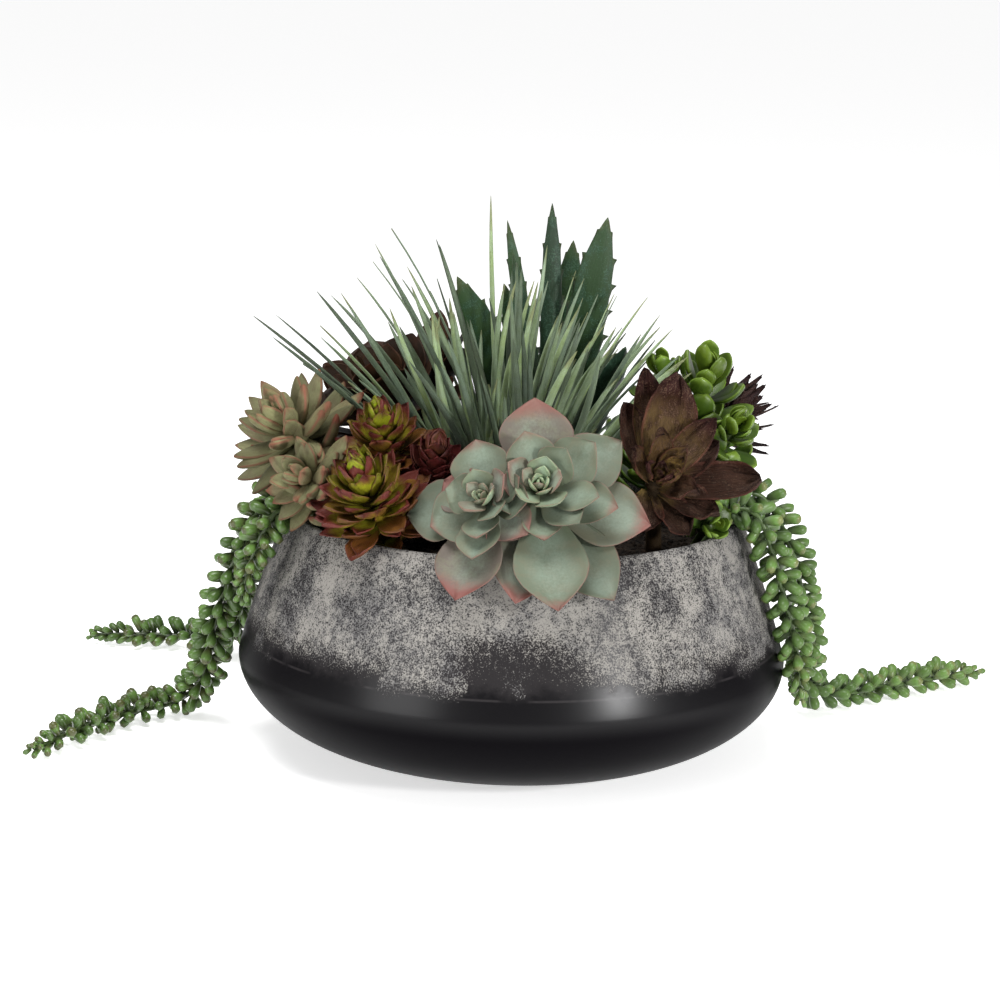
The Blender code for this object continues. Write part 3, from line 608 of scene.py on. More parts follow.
def leaf_tree():
    """Grows a leaf from each point. Every point says where its leaf stands, its three directions and its
    size, and the tree bends one unit leaf to them by the same rule as the solids."""
    tree, start, (points, leaf, body, first, last, dish, thickness, least, wave, sway, material) = new_tree(
        "leaves",
        (
            ("Leaves", "Geometry"),
            ("Leaf", "Object"),
            ("Body", "Object"),
            ("First slope", "Float"),
            ("Last slope", "Float"),
            ("Dish", "Float"),
            ("Thickness", "Float"),
            ("Least thickness", "Float"),
            ("Wave", "Float"),
            ("Sway", "Float"),
            ("Finish", "Material"),
        ),
    )

    def kept(name, kind="FLOAT"):
        return start.node("GeometryNodeInputNamedAttribute", {"data_type": kind}, {"Name": name})

    shape = start.node("GeometryNodeObjectInfo", {}, {0: leaf}, "Geometry")
    each = start.node("GeometryNodeInstanceOnPoints", {}, {"Points": points, "Instance": shape})
    real = start.node("GeometryNodeRealizeInstances", {}, {0: each})
    place = kept("place", "FLOAT_VECTOR")
    share, across, high = place.parts()
    chance = kept("nature", "FLOAT_VECTOR").parts()[1]
    length, width, breadth = kept("length"), kept("width"), kept("breadth")
    slope = first + (last - first) * share
    radius = length / (last - first)
    slope_sine, slope_cosine = slope.sine(), slope.cosine()
    along = (slope_sine - first.sine()) * radius
    rise = (first.cosine() - slope_cosine) * radius
    half = width * 0.5 * breadth
    deep = width.maths("MAXIMUM", width * thickness, least) * 0.5 * breadth ** 0.5
    far, near = RUFFLE_SHIFTS
    shift = start.node("ShaderNodeCombineXYZ", {}, {0: chance * far, 1: chance * near, 2: 0.0})
    ruffle = (place.stretched(*RUFFLE_GRAIN).plus(shift).noise(1.0, 2.0, 0.6) - 0.5) * wave * width * share
    lean = (chance * LEAN_SHIFT).sine() * sway * length * share * share * LEAN_SHARE
    lift = high * deep + dish * half * across * across + ruffle + lean
    spot = kept("toward", "FLOAT_VECTOR").times(along - lift * slope_sine)
    swing = (chance - 0.5) * sway * length * (share * share - share ** 3 * SWAY_BACK * (1 - chance))
    spot = spot.plus(kept("across", "FLOAT_VECTOR").times(half * across + swing))
    spot = spot.plus(kept("upward", "FLOAT_VECTOR").times(rise + lift * slope_cosine))
    spot = spot.plus(kept("foot", "FLOAT_VECTOR"))
    bent = start.node("GeometryNodeSetPosition", {}, {"Geometry": real, "Position": spot})
    stems = start.node("GeometryNodeObjectInfo", {}, {0: body}, "Geometry")
    both = start.node("GeometryNodeJoinGeometry", {}, {0: bent})
    tree.links.new(stems.socket, both.socket.node.inputs[0])
    smooth = start.node("GeometryNodeSetShadeSmooth", {}, {"Geometry": both})
    whole = start.node("GeometryNodeRealizeInstances", {}, {0: smooth})
    painted = start.node("GeometryNodeSetMaterial", {}, {"Geometry": whole, "Material": material})
    return ends_in(tree, painted)


LEAVES = leaf_tree()


class Sprout:
    """One leaf of a plant: its size, the frame of its foot, how near the heart it is, and its own chance.
    Test is the form it is tried in, if not its shape's own. Added says that the solids don't have it so."""

    def __init__(self, length, width, place, age, chance, test=None, added=False):
        self.length = length
        self.width = width
        self.place = place
        self.age = age
        self.chance = chance
        self.test = test
        self.added = added


def turn_by(degrees, axis):
    return Matrix.Rotation(math.radians(degrees), 4, axis)


def plant(node, name, shape, sprouts, bodies, material):
    """Grows a plant in place of its CAD node. Each leaf takes the first bend in which it is clear, and is
    left out where none is. As in the part's source, it keeps clear of every other solid."""
    kept = []
    for sprout in sprouts:
        for pitch, yaw, size in BENDS:
            place = sprout.place @ (turn_by(yaw, "Z") @ turn_by(-pitch, "Y"))
            length, width = sprout.length * size, sprout.width * size
            points, faces = (sprout.test or shape.form).skin(length, width, place, LEAF_GAP)
            if is_clear(node, points, faces, sprout.added):
                kept.append((place, length, width, sprout))
                break
    feet = [place.to_translation() * MM for place, length, width, sprout in kept]
    data = bpy.data.meshes.new(name)
    data.from_pydata(feet, [], [])
    stored(data, "foot", "FLOAT_VECTOR", feet)
    for column, direction in enumerate(("toward", "across", "upward")):
        stored(data, direction, "FLOAT_VECTOR", [leaf[0].col[column].to_3d() for leaf in kept])
    stored(data, "length", "FLOAT", [length * MM for place, length, width, sprout in kept])
    stored(data, "width", "FLOAT", [width * MM for place, length, width, sprout in kept])
    stored(data, "nature", "FLOAT_VECTOR", [(leaf[3].age, leaf[3].chance, 1.0) for leaf in kept])
    body = new_object("body", joined(bodies))
    inputs = {
        "Leaf": shape.unit,
        "Body": body,
        "First slope": shape.form.curl[0],
        "Last slope": shape.form.curl[1],
        "Dish": shape.form.dish + shape.cup,
        "Thickness": shape.form.thickness,
        "Least thickness": shape.form.least * MM,
        "Wave": shape.wave,
        "Sway": shape.sway,
        "Finish": material,
    }
    grown = modified(name, data, LEAVES, inputs)
    bpy.data.objects.remove(body)
    for layer in ("foot", "toward", "across", "upward", "length", "width"):
        grown.data.attributes.remove(grown.data.attributes[layer])
    finished(grown, node)
    grown_plants[node] = tree_of_node(grown)


def joined(skins):
    """One mesh of several skins in millimetres."""
    points, faces = [], []
    for corners, triangles in skins:
        faces += [tuple(len(points) + k for k in triangle) for triangle in triangles]
        points += [point * MM for point in corners]
    data = bpy.data.meshes.new("body")
    data.from_pydata(points, [], faces)
    return data


def tube(path, radii, sides=12):
    """Points and triangles of a round tube along a path, with closed ends."""
    points = [path[0]]
    side = Vector((1, 0.01, 0))
    for k, at in enumerate(path):
        along = (path[min(k + 1, len(path) - 1)] - path[max(k - 1, 0)]).normalized()
        side = (side - along * side.dot(along)).normalized()
        up = along.cross(side)
        for corner in range(sides):
            turn = 2 * math.pi * corner / sides
            points.append(at + (side * math.cos(turn) + up * math.sin(turn)) * radii[k])
    return points + [path[-1]], loft_faces(len(path), sides)


def core(head, radius, height, sides=16):
    """A low egg that the feet of the leaves are sunk in, centred on its head."""
    levels = [math.sin(math.pi * (k / 6 - 0.5)) for k in range(1, 6)]
    points = [head @ Vector((0, 0, -height))]
    for level in levels:
        wide = radius * math.sqrt(1 - level * level)
        for k in range(sides):
            turn = 2 * math.pi * k / sides
            points.append(head @ Vector((wide * math.cos(turn), wide * math.sin(turn), height * level)))
    return points + [head @ Vector((0, 0, height))], loft_faces(len(levels), sides)


def stem(root, head, radius):
    root, head = Vector(root), Vector(head)
    foot = root - (head - root).normalized() * ROOT_DEPTH
    return tube([foot, root, root.lerp(head, 0.5), head], [radius, radius, radius * 0.9, radius * 0.8])


def head_frame(at, toward, spin=0.0):
    """A frame at a head: +Z points the way it faces, +Y up the picture and +X to the right."""
    turn = Vector(toward).to_track_quat("Z", "Y").to_matrix().to_4x4()
    return Matrix.Translation(Vector(at)) @ turn @ turn_by(spin, "Z")


def leaf_frame(head, azimuth, pitch, out=0.0, up=0.0):
    """The frame of a leaf round a head: its foot stands out from the axis, and it rises by its pitch."""
    return head @ turn_by(azimuth, "Z") @ Matrix.Translation((out, 0, up)) @ turn_by(-pitch, "Y")


def leaf_paint(name, heart, body, foot, tip, edge, roughness=0.5, heart_from=0.45, tip_from=0.8,
               tip_vary=0.1, edge_from=0.8, edge_share=0.3, streaks=0.0, mottle=None, mottle_share=0.0,
               bloom=None, bloom_share=0.0, bloom_side=2.0, other=None, other_share=0.0, tip_young=1.0,
               flecks=None, vary=0.12, young=0.0, stalk=None, grain=900, depth=0.00025, specular=0.2):
    """A leaf's finish. Age runs from the outer leaves to the heart, share from foot to tip, and the side
    from margin to margin: the heart, the tip and the margins each have their own colour, though the pale
    margins of the blades and the red leaves are partly a painted highlight. The foot's colour is its own
    where it is lighter than the body and painted shade at the crowded base where it is darker. The
    bloom is a powder that fades out towards the margins, at bloom_side. About a third of the leaves lean to
    the other colour, tip_young is how much of the tip's colour is left at the heart, young is how much
    lighter the heart is than the outer leaves, and flecks are specks of scurf, the size of the grain."""
    finish = Finish(name, specular)
    share, side = finish.start.node(
        "ShaderNodeAttribute", {"attribute_name": "place"}, output="Vector"
    ).parts()[:2]
    age, chance, leafy = finish.start.node(
        "ShaderNodeAttribute", {"attribute_name": "nature"}, output="Vector"
    ).parts()
    blotch = finish.place.noise(130, 3, 0.6)
    fine = finish.place.noise(grain, 3, 0.65)
    shift = finish.start.node("ShaderNodeCombineXYZ", {}, {0: share * 2.5, 1: side * 9, 2: chance * 50})
    streak = shift.noise(1.6, 3, 0.6)
    margin = abs(side)
    color = (age + (blotch - 0.5) * 0.3).rise(heart_from, 1.0).mix(seen(*body), seen(*heart))
    if other:
        color = (chance.rise(0.5, 0.85) * other_share).mix(color, seen(*other))
    # A darker foot colour is painted shade at the crowded bases of the leaves; a lighter one is the base's
    # own colour.
    color = (share + (blotch - 0.5) * 0.25).rise(0.42, 0.0).mix(color, seen(*foot))
    if mottle:
        cover = ((blotch - 0.5) * 1.6 + (fine - 0.5) * 0.6 + 0.5).rise(0.42, 0.66) * mottle_share
        color = cover.mix(color, seen(*mottle))
    if bloom:
        dusted = (finish.place.noise(45, 3, 0.6) + (fine - 0.5) * 0.5).rise(0.15, 0.85) * bloom_share
        color = (dusted * margin.rise(bloom_side, 0.1)).mix(color, seen(*bloom))
    ragged = (blotch - 0.5) * 0.16 + (fine - 0.5) * 0.1
    rim = (margin + ragged * 0.5).rise(edge_from, 1.0) * share.rise(edge_share, edge_share + 0.4)
    color = (rim * leafy * 0.9).mix(color, seen(*edge))
    end = (share - (1 - margin) * 0.03 + ragged + (chance - 0.5) * tip_vary).rise(tip_from, 1.0)
    color = (end * leafy * (1 - age * (1 - tip_young))).mix(color, seen(*tip))
    if flecks:
        color = ((fine + (blotch - 0.5) * 0.5).rise(0.54, 0.66) * 0.6).mix(color, seen(*flecks))
    light = 1 + (age - 0.4) * young + (chance - 0.5) * vary * 2
    light = light + (streak - 0.5) * streaks + (fine - 0.5) * 0.1
    color = color.node("ShaderNodeHueSaturation", {}, {"Value": light, "Color": color})
    # Stems and cores take the stalk colour. For the maroon, red, green and blade plants it is kept dark as
    # painted shade under the leaves.
    if stalk:
        color = leafy.mix(seen(*stalk), color)
    bumpy = fine * 0.5 + streak * streaks * 2 + blotch * 0.3
    return finish.set(color, roughness + (fine - 0.5) * 0.12, bumpy, depth)


PETAL = Form(((0.14, 0.34), (0.48, 0.88), (0.76, 0.9)), FLAT, 0.075, 0.2, (-14, 18), 1.8)
PETAL_STOPS = (
    (0, 0.24), (0.14, 0.4), (0.34, 0.74), (0.5, 0.95), (0.61, 1.0), (0.74, 0.88), (0.85, 0.6),
    (0.94, 0.27), (1, 0.01),
)
ECHEVERIA_ROOT = (12, -80, 126)
ECHEVERIA_HEAD = (12, -112, 172)
ECHEVERIA_FACE = (0.0, -0.766, 0.643)
OFFSET_HEAD = (-16, -116, 167)
OFFSET_FACE = (-0.35, -0.72, 0.6)
BETWEEN_PETALS = ((-132, 6, 40, 25), (-152, 22, 29, 21), (178, 34, 24, 18))
OFFSET_BETWEEN = ((-28, 2, 32, 24), (4, 14, 26, 22), (34, 26, 24, 18))
ECHEVERIA_PETALS = (
    (-56, -12, 71, 36),
    (-100, -10, 64, 34),
    (-14, -4, 60, 40),
    (-81, 5, 72, 40),
    (36, 2, 53, 36),
    (162, 4, 38, 28),
    (94, 12, 52, 40),
    (-18, 14, 44, 27),
    (-85, 20, 36, 22),
    (37, 24, 39, 31),
    (-52, 26, 37, 22),
    (-22, 30, 38, 20),
    (108, 32, 32, 27),
    (48, 46, 28, 24),
    (158, 46, 25, 18),
    (-62, 44, 27, 19),
    (-125, 46, 24, 15),
    (74, 60, 20, 18),
    (-8, 58, 20, 14),
)
OFFSET_PETALS = (
    (-90, -8, 57, 38),
    (-165, -4, 46, 37),
    (162, 2, 29, 30),
    (-144, 4, 32, 34),
    (112, 18, 34, 33),
    (-80, 12, 38, 25),
    (-74, 24, 30, 21),
    (-177, 30, 22, 24),
    (-43, 36, 26, 18),
    (30, 46, 24, 19),
    (116, 50, 18, 18),
    (-100, 48, 20, 16),
    (-18, 58, 17, 12),
)


HEART_PITCH = 52
HEART_RISE = 34
HEART_TAPER = (0.45, 0.5)
RING_AGE = 0.85


def ring_of(head, rows, out, low, high, draw, heart):
    """The leaves of one head, placed one by one from the lowest, at the back, to those round its heart.
    Heart is how many small ones close it, and the length and width of the first of them."""
    made = []
    for k, (azimuth, pitch, length, width) in enumerate(rows):
        place = leaf_frame(head, azimuth, pitch, out, low + (high - low) * k / len(rows))
        made.append(Sprout(length, width, place, RING_AGE * k / len(rows), draw.random()))
    count, length, width = heart
    shorter, narrower = HEART_TAPER
    for k in range(count):
        share = k / (count - 1)
        pitch = HEART_PITCH + HEART_RISE * share
        place = leaf_frame(head, 20 + k * GOLDEN_ANGLE, pitch, out * (1 - share), high)
        size = length * (1 - shorter * share), width * (1 - narrower * share)
        made.append(Sprout(*size, place, 1.0, draw.random()))
    return made


def echeveria():
    draw = random.Random(21)
    petal = Shape(PETAL, PETAL_STOPS, rings=24, sides=24, top=0.7, keel=1.3, wave=0.12)
    # The outer petals' darker body colour, against a paler heart that young lightens further, is partly their
    # own tone and partly painted shade.
    finish = leaf_paint(
        "powdery_petal",
        heart=(132, 150, 118), body=(92, 99, 82), foot=(88, 100, 74), tip=(112, 70, 64),
        edge=(108, 80, 72), roughness=0.58, tip_from=0.8, tip_vary=0.3, edge_from=0.94, edge_share=0.4,
        streaks=0.12, mottle=(98, 96, 78), mottle_share=0.5, bloom=(122, 138, 124), bloom_share=0.66,
        bloom_side=0.95, other=(92, 80, 74), other_share=0.85, tip_young=0.1, vary=0.12, young=0.44,
        stalk=(60, 72, 40), grain=700, depth=0.00015,
    )
    main = head_frame(ECHEVERIA_HEAD, ECHEVERIA_FACE)
    second = head_frame(OFFSET_HEAD, OFFSET_FACE)
    bodies = [
        stem(ECHEVERIA_ROOT, ECHEVERIA_HEAD, 5.0),
        core(main, 4.5, 5.0),
        tube([main @ Vector((0, 0, -5)), second @ Vector((0, 0, -4))], [3.0, 3.0]),
        core(second, 3.5, 4.0),
    ]
    sprouts = ring_of(main, ECHEVERIA_PETALS, 1.5, -6.0, 3.0, draw, (10, 17, 11))
    sprouts += ring_of(second, OFFSET_PETALS, 1.0, -4.0, 2.0, draw, (8, 14, 9))
    for head, rows in ((main, BETWEEN_PETALS), (second, OFFSET_BETWEEN)):
        for azimuth, pitch, length, width in rows:
            place = leaf_frame(head, azimuth, pitch, 1.5, -3.0)
            sprouts.append(Sprout(length, width, place, 0.4, draw.random()))
    plant("echeveria", "powdery_rosette", petal, sprouts, bodies, finish)


echeveria()


# Maroon rosette
# A large rosette of broad, folded tongues at the right, brown-red with olive patches and a scurfy skin. Its
# short stem is sunk in the mix.

TONGUE = Form(((0.14, 0.5), (0.5, 1.0), (0.82, 0.78)), FLAT, 0.1, 0.24, (-12, 26), 2.0)
TONGUE_STOPS = (
    (0, 0.4), (0.14, 0.56), (0.34, 0.88), (0.52, 1.0), (0.68, 0.97), (0.82, 0.78), (0.93, 0.44), (1, 0.05),
)
MAROON_ROOT = (76, -54, 126)
MAROON_HEAD = (74, -74, 170)
MAROON_FACE = (0.3, -0.7, 0.65)
MAROON_LEAVES = (
    (-118, -6, 27, 22),
    (-64, -5, 32, 22),
    (26, 4, 48, 20),
    (-32, 2, 38, 20),
    (-4, 5, 60, 25),
    (102, 12, 46, 20),
    (84, 18, 62, 20),
    (69, 27, 60, 29),
    (33, 32, 48, 18),
    (-45, 36, 27, 17),
    (150, 42, 30, 15),
    (88, 52, 30, 15),
    (34, 56, 26, 14),
    (-40, 64, 20, 12),
)


def maroon_rosette():
    draw = random.Random(4)
    tongue = Shape(
        TONGUE, TONGUE_STOPS, rings=22, sides=22, top=0.6, keel=1.4, wave=1.1, sway=0.1, cup=0.25,
    )
    # The near black-brown stalk colour is painted shade on the stem under the leaves.
    finish = leaf_paint(
        "scurfy_maroon_leaf",
        heart=(132, 106, 56), body=(54, 31, 21), foot=(126, 104, 56), tip=(42, 19, 16),
        edge=(84, 48, 38), roughness=0.6, tip_from=0.62, tip_vary=0.4, edge_from=0.82, edge_share=0.1,
        streaks=0.9, mottle=(38, 21, 15), mottle_share=0.7, bloom=(90, 70, 56), bloom_share=0.42,
        bloom_side=1.0, other=(78, 62, 33), other_share=0.9, flecks=(100, 78, 62), vary=0.26,
        young=0.36, stalk=(44, 33, 19), grain=1100, depth=0.0016, specular=0.12,
    )
    head = head_frame(MAROON_HEAD, MAROON_FACE)
    bodies = [stem(MAROON_ROOT, MAROON_HEAD, 4.5), core(head, 5.0, 5.0)]
    sprouts = ring_of(head, MAROON_LEAVES, 2.0, -6.0, 2.0, draw, (6, 20, 11))
    plant("maroon_rosette", "scurfy_rosette", tongue, sprouts, bodies, finish)


maroon_rosette()


# Red rosettes
# Three tall, dense heads of small pointed leaves at the left, lime at the heart and turning through orange
# brown to a glossy dark red at their tips and edges. Like the heads that follow, each grows its leaves in
# a golden spiral, the inner ones as buds.

BUDS_FROM = 0.62
FILL_TURNS = (60, 90)
FILL_PITCHES = (-3, 8)
FILL_SIZES = (0.88, 1.05)
SKIRT_FROM = 0.05
SKIRT_SPAN = 0.75
SKIRT_PITCHES = (10, 50)
SKIRT_SIZES = (0.7, 0.95)
CLOSED_TURN = 40
CLOSED_PITCH = 89
CLOSED_SIZE = 0.92
CLOSED_SHRINK = 0.4
BUD = Form(((0.55, 1.0),), FLAT, 0.4, 0.0, (-4, 16), 1.4)
SPEAR = Form(((0.3, 0.68), (0.62, 1.0)), FLAT, 0.18, 0.2, (-6, 26), 1.4)
SPEAR_STOPS = (
    (0, 0.55), (0.3, 0.8), (0.5, 0.98), (0.62, 1.0), (0.76, 0.8), (0.88, 0.46), (0.96, 0.18), (1, 0.02),
)


def rosette(node, name, shape, finish, slot, root, head, face, spin, count, outer, inner, out, depth,
            radius, fill=0, fill_size=0.86, heart=4, skirt=0, skirt_size=1.0):
    """A stem with a golden spiral of leaves. Outer and inner are the length, width and pitch of the first
    leaf and the last. Fill leaves stand between these where there is room, the heart's close it, and the
    skirt's are the older ones lower down the stem."""
    draw = random.Random(node)
    place = head_frame(head, face, spin)
    bodies = [
        stem(root, place @ Vector((0, 0, -depth)), radius),
        tube([place @ Vector((0, 0, -depth - 2)), place @ Vector((0, 0, 2))], [out + 2.5, 2.5]),
    ]
    sprouts = []
    for k in range(count):
        share = k / (count - 1)
        length, width, pitch = (a + (b - a) * share for a, b in zip(outer, inner))
        foot = leaf_frame(place, k * GOLDEN_ANGLE, pitch, out * (1 - share), -depth * (1 - share))
        test = None if share < BUDS_FROM else BUD
        sprouts.append(Sprout(length, width, foot, share, draw.random(), test))
    for k in range(fill):
        share = (k + 0.5) / fill
        length, width, pitch = (a + (b - a) * share for a, b in zip(outer, inner))
        azimuth = k * GOLDEN_ANGLE + draw.uniform(*FILL_TURNS)
        pitch += draw.uniform(*FILL_PITCHES)
        foot = leaf_frame(place, azimuth, pitch, out * (1 - share), -depth * (1 - share))
        size = fill_size * draw.uniform(*FILL_SIZES)
        sprouts.append(Sprout(length * size, width * size, foot, share, draw.random(), added=True))
    down = Vector(root) - place @ Vector((0, 0, -depth))
    for k in range(skirt):
        at = place @ Vector((0, 0, -depth)) + down * (SKIRT_FROM + SKIRT_SPAN * k / skirt)
        pitch = draw.uniform(*SKIRT_PITCHES)
        foot = leaf_frame(head_frame(at, -down), k * GOLDEN_ANGLE, pitch, radius * 0.5)
        size = draw.uniform(*SKIRT_SIZES) * skirt_size
        sprouts.append(Sprout(outer[0] * size, outer[1] * size, foot, 0.0, draw.random(), added=True))
    for k in range(heart):
        share = (k + 1) / (heart + 1)
        length, width, pitch = inner
        pitch += (CLOSED_PITCH - pitch) * share
        foot = leaf_frame(place, k * GOLDEN_ANGLE + CLOSED_TURN, pitch, 0, 0)
        size = CLOSED_SIZE - CLOSED_SHRINK * share
        sprouts.append(Sprout(length * size, width * size, foot, 1.0, draw.random(), added=True))
    plant(node, name, shape, sprouts, bodies, finish)


def red_rosettes():
    spear = Shape(SPEAR, SPEAR_STOPS, rings=14, sides=14, top=0.5, keel=1.3, wave=0.5, cup=0.1)
    # The pale edge colours are partly a paler margin and partly a painted highlight along the rims. The dark
    # stalk colours are painted shade on the stems under the leaves.
    finish = leaf_paint(
        "lime_to_red_leaf",
        heart=(134, 148, 26), body=(102, 64, 28), foot=(118, 122, 28), tip=(78, 32, 26),
        edge=(122, 72, 58), roughness=0.34, heart_from=0.12, tip_from=0.66, tip_vary=0.6, edge_from=0.9,
        edge_share=0.25, streaks=0.6, mottle=(84, 44, 27), mottle_share=0.5, other=(122, 120, 28),
        other_share=0.95, vary=0.36, stalk=(44, 36, 16), grain=1200, depth=0.0005,
    )
    dark = leaf_paint(
        "dark_red_leaf",
        heart=(88, 60, 32), body=(80, 38, 32), foot=(84, 60, 32), tip=(70, 26, 25),
        edge=(142, 92, 82), roughness=0.34, tip_from=0.4, tip_vary=0.3, edge_from=0.86, edge_share=0.2,
        streaks=0.5, mottle=(56, 26, 25), mottle_share=0.5, vary=0.3, stalk=(40, 32, 16), grain=1200,
    )
    rosette(
        "red_rosette_front", "red_head_front", spear, finish, "red_rosette",
        root=(-60, -72, 126), head=(-82, -102, 176), face=(-0.25, -0.5, 0.83), spin=0,
        count=28, outer=(34, 16, -6), inner=(20, 10, 84), out=6.0, depth=34.0, radius=4.0,
        fill=62, fill_size=0.9, heart=7, skirt=10,
    )
    rosette(
        "red_rosette_back", "red_head_back", spear, finish, "red_rosette",
        root=(-50, -46, 126), head=(-74, -58, 198), face=(-0.15, -0.45, 0.88), spin=40,
        count=22, outer=(28, 14, 6), inner=(17, 9, 84), out=5.0, depth=28.0, radius=3.5,
        fill=44, heart=7, skirt=16,
    )
    rosette(
        "red_rosette_small", "red_head_small", spear, dark, "red_rosette",
        root=(-30, -54, 126), head=(-43, -77, 187), face=(0.08, -0.6, 0.8), spin=80,
        count=22, outer=(27, 13, 6), inner=(16, 9, 82), out=4.0, depth=46.0, radius=2.8,
        fill=44, fill_size=1.05, heart=6, skirt=12, skirt_size=1.15,
    )


red_rosettes()


# Dusty rosettes
# Open heads of fat, boat-shaped leaves in a dusty olive with rose-tinted points and edges, two at the left
# and one at the back.

FINGER = Form(((0.2, 0.66), (0.6, 1.0)), FLAT, 0.7, 0.0, (-8, 10))
FINGER_STOPS = (
    (0, 0.48), (0.2, 0.68), (0.42, 0.88), (0.56, 0.91), (0.72, 0.78), (0.86, 0.48), (0.95, 0.22), (1, 0.02),
)


def dusty_rosettes():
    finger = Shape(FINGER, FINGER_STOPS, rings=14, sides=14, top=0.6, keel=0.9, power=1.2, wave=0.06)
    finish = leaf_paint(
        "dusty_olive_leaf",
        heart=(118, 118, 80), body=(104, 103, 70), foot=(104, 104, 67), tip=(112, 66, 52),
        edge=(120, 80, 64), roughness=0.62, tip_from=0.84, tip_vary=0.2, edge_from=0.88, edge_share=0.3,
        streaks=0.6, mottle=(84, 70, 50), mottle_share=0.55, bloom=(134, 132, 103), bloom_share=0.5,
        other=(98, 84, 60), other_share=0.7, tip_young=0.4, vary=0.28, stalk=(50, 46, 30), grain=900,
        depth=0.0005, specular=0.15,
    )
    rosette(
        "dusty_rosette_upper", "dusty_head_upper", finger, finish, "dusty_olive",
        root=(-94, -22, 126), head=(-126, -34, 188), face=(-0.5, -0.5, 0.7), spin=10,
        count=18, outer=(45, 15, -20), inner=(24, 12, 82), out=3.5, depth=16.0, radius=2.6,
        fill=22, fill_size=1.0, heart=4, skirt=12,
    )
    rosette(
        "dusty_rosette_lower", "dusty_head_lower", finger, finish, "dusty_olive",
        root=(-92, -52, 126), head=(-114, -72, 168), face=(-0.5, -0.75, 0.42), spin=60,
        count=13, outer=(30, 14, -16), inner=(19, 10, 80), out=3.0, depth=12.0, radius=2.6,
        fill=16, fill_size=1.0, heart=4, skirt=14,
    )
    rosette(
        "dusty_rosette_back", "dusty_head_back", finger, finish, "dusty_olive",
        root=(-26, 82, 126), head=(-32, 98, 154), face=(-0.2, 0.65, 0.72), spin=30,
        count=10, outer=(42, 19, -12), inner=(24, 13, 82), out=3.5, depth=14.0, radius=3.0,
        fill=14, heart=4,
    )


dusty_rosettes()


# Chocolate rosettes
# Flat leaves of a dark brown aeonium, blunt at their ends, at the back on the left: a wide head and a tall
# one.

PADDLE = Form(((0.12, 0.34), (0.52, 0.92), (0.8, 0.9)), FLAT, 0.07, 0.12, (-6, 14), 1.8)
PADDLE_STOPS = (
    (0, 0.22), (0.12, 0.38), (0.35, 0.74), (0.54, 0.95), (0.68, 1.0), (0.8, 0.9), (0.91, 0.58), (1, 0.04),
)


def chocolate_rosettes():
    paddle = Shape(PADDLE, PADDLE_STOPS, rings=16, sides=16, top=0.6, keel=1.2, wave=0.15)
    finish = leaf_paint(
        "chocolate_leaf",
        heart=(50, 36, 22), body=(32, 21, 13), foot=(44, 36, 20), tip=(50, 26, 14),
        edge=(66, 42, 26), roughness=0.5, tip_from=0.85, edge_from=0.93, edge_share=0.2, streaks=0.3,
        mottle=(54, 32, 20), mottle_share=0.4, vary=0.2, stalk=(44, 34, 20), grain=1000, specular=0.12,
    )
    rosette(
        "chocolate_rosette", "chocolate_head", paddle, finish, "chocolate_leaf",
        root=(-58, 44, 126), head=(-76, 36, 189), face=(-0.25, -0.25, 0.93), spin=15,
        count=9, outer=(54, 40, 14), inner=(30, 20, 72), out=4.0, depth=10.0, radius=4.5,
        fill=16, fill_size=1.02, heart=4, skirt=13,
    )
    rosette(
        "chocolate_rosette_tall", "chocolate_head_tall", paddle, finish, "chocolate_leaf",
        root=(-36, 46, 126), head=(-50, 48, 198), face=(0.0, -0.1, 1.0), spin=80,
        count=6, outer=(46, 24, 44), inner=(44, 19, 86), out=2.0, depth=6.0, radius=3.0,
        fill=8, heart=2, skirt=12, skirt_size=1.2,
    )


chocolate_rosettes()


# Green rosettes
# Leafy stems of plump, waxy apple-green leaves like those of a jade plant, four at the right and one
# behind. Each is rooted in the mix, and all but the lowest carry older leaves below their heads.

SPOON = Form(((0.26, 0.42), (0.7, 1.0)), FLAT, 0.55, 0.0, (-10, 24))
SPOON_STOPS = (
    (0, 0.3), (0.26, 0.46), (0.45, 0.74), (0.62, 0.88), (0.78, 0.82), (0.9, 0.56), (0.97, 0.22), (1, 0.02),
)
GREEN_STEMS = {
    "inner": dict(
        root=(70, 4, 126), head=(81, 8, 216), face=(-0.2, -0.3, 0.93), spin=70, count=9,
        outer=(21, 14, 4), inner=(15, 10, 76), out=2.2, depth=16.0, radius=2.2, skirt=34,
    ),
    "top": dict(
        root=(88, 6, 126), head=(104, 2, 214), face=(0.1, -0.35, 0.93), spin=0, count=13,
        outer=(31, 18, 6), inner=(24, 14, 74), out=2.5, depth=26.0, radius=2.6, skirt=12,
    ),
    "side": dict(
        root=(98, -14, 126), head=(120, -20, 190), face=(0.4, -0.6, 0.7), spin=35, count=12,
        outer=(23, 16, -12), inner=(16, 11, 76), out=2.2, depth=20.0, radius=2.4, skirt=10,
    ),
    "low": dict(
        root=(98, -40, 126), head=(106, -60, 144), face=(0.5, -0.8, 0.35), spin=20, count=7,
        outer=(18, 13, -6), inner=(12, 8, 72), out=2.0, depth=5.0, radius=2.2, skirt=0,
    ),
    "back": dict(
        root=(56, 80, 126), head=(66, 96, 156), face=(0.35, 0.6, 0.7), spin=50, count=9,
        outer=(34, 24, -12), inner=(18, 13, 78), out=3.0, depth=12.0, radius=3.0, skirt=4,
    ),
}


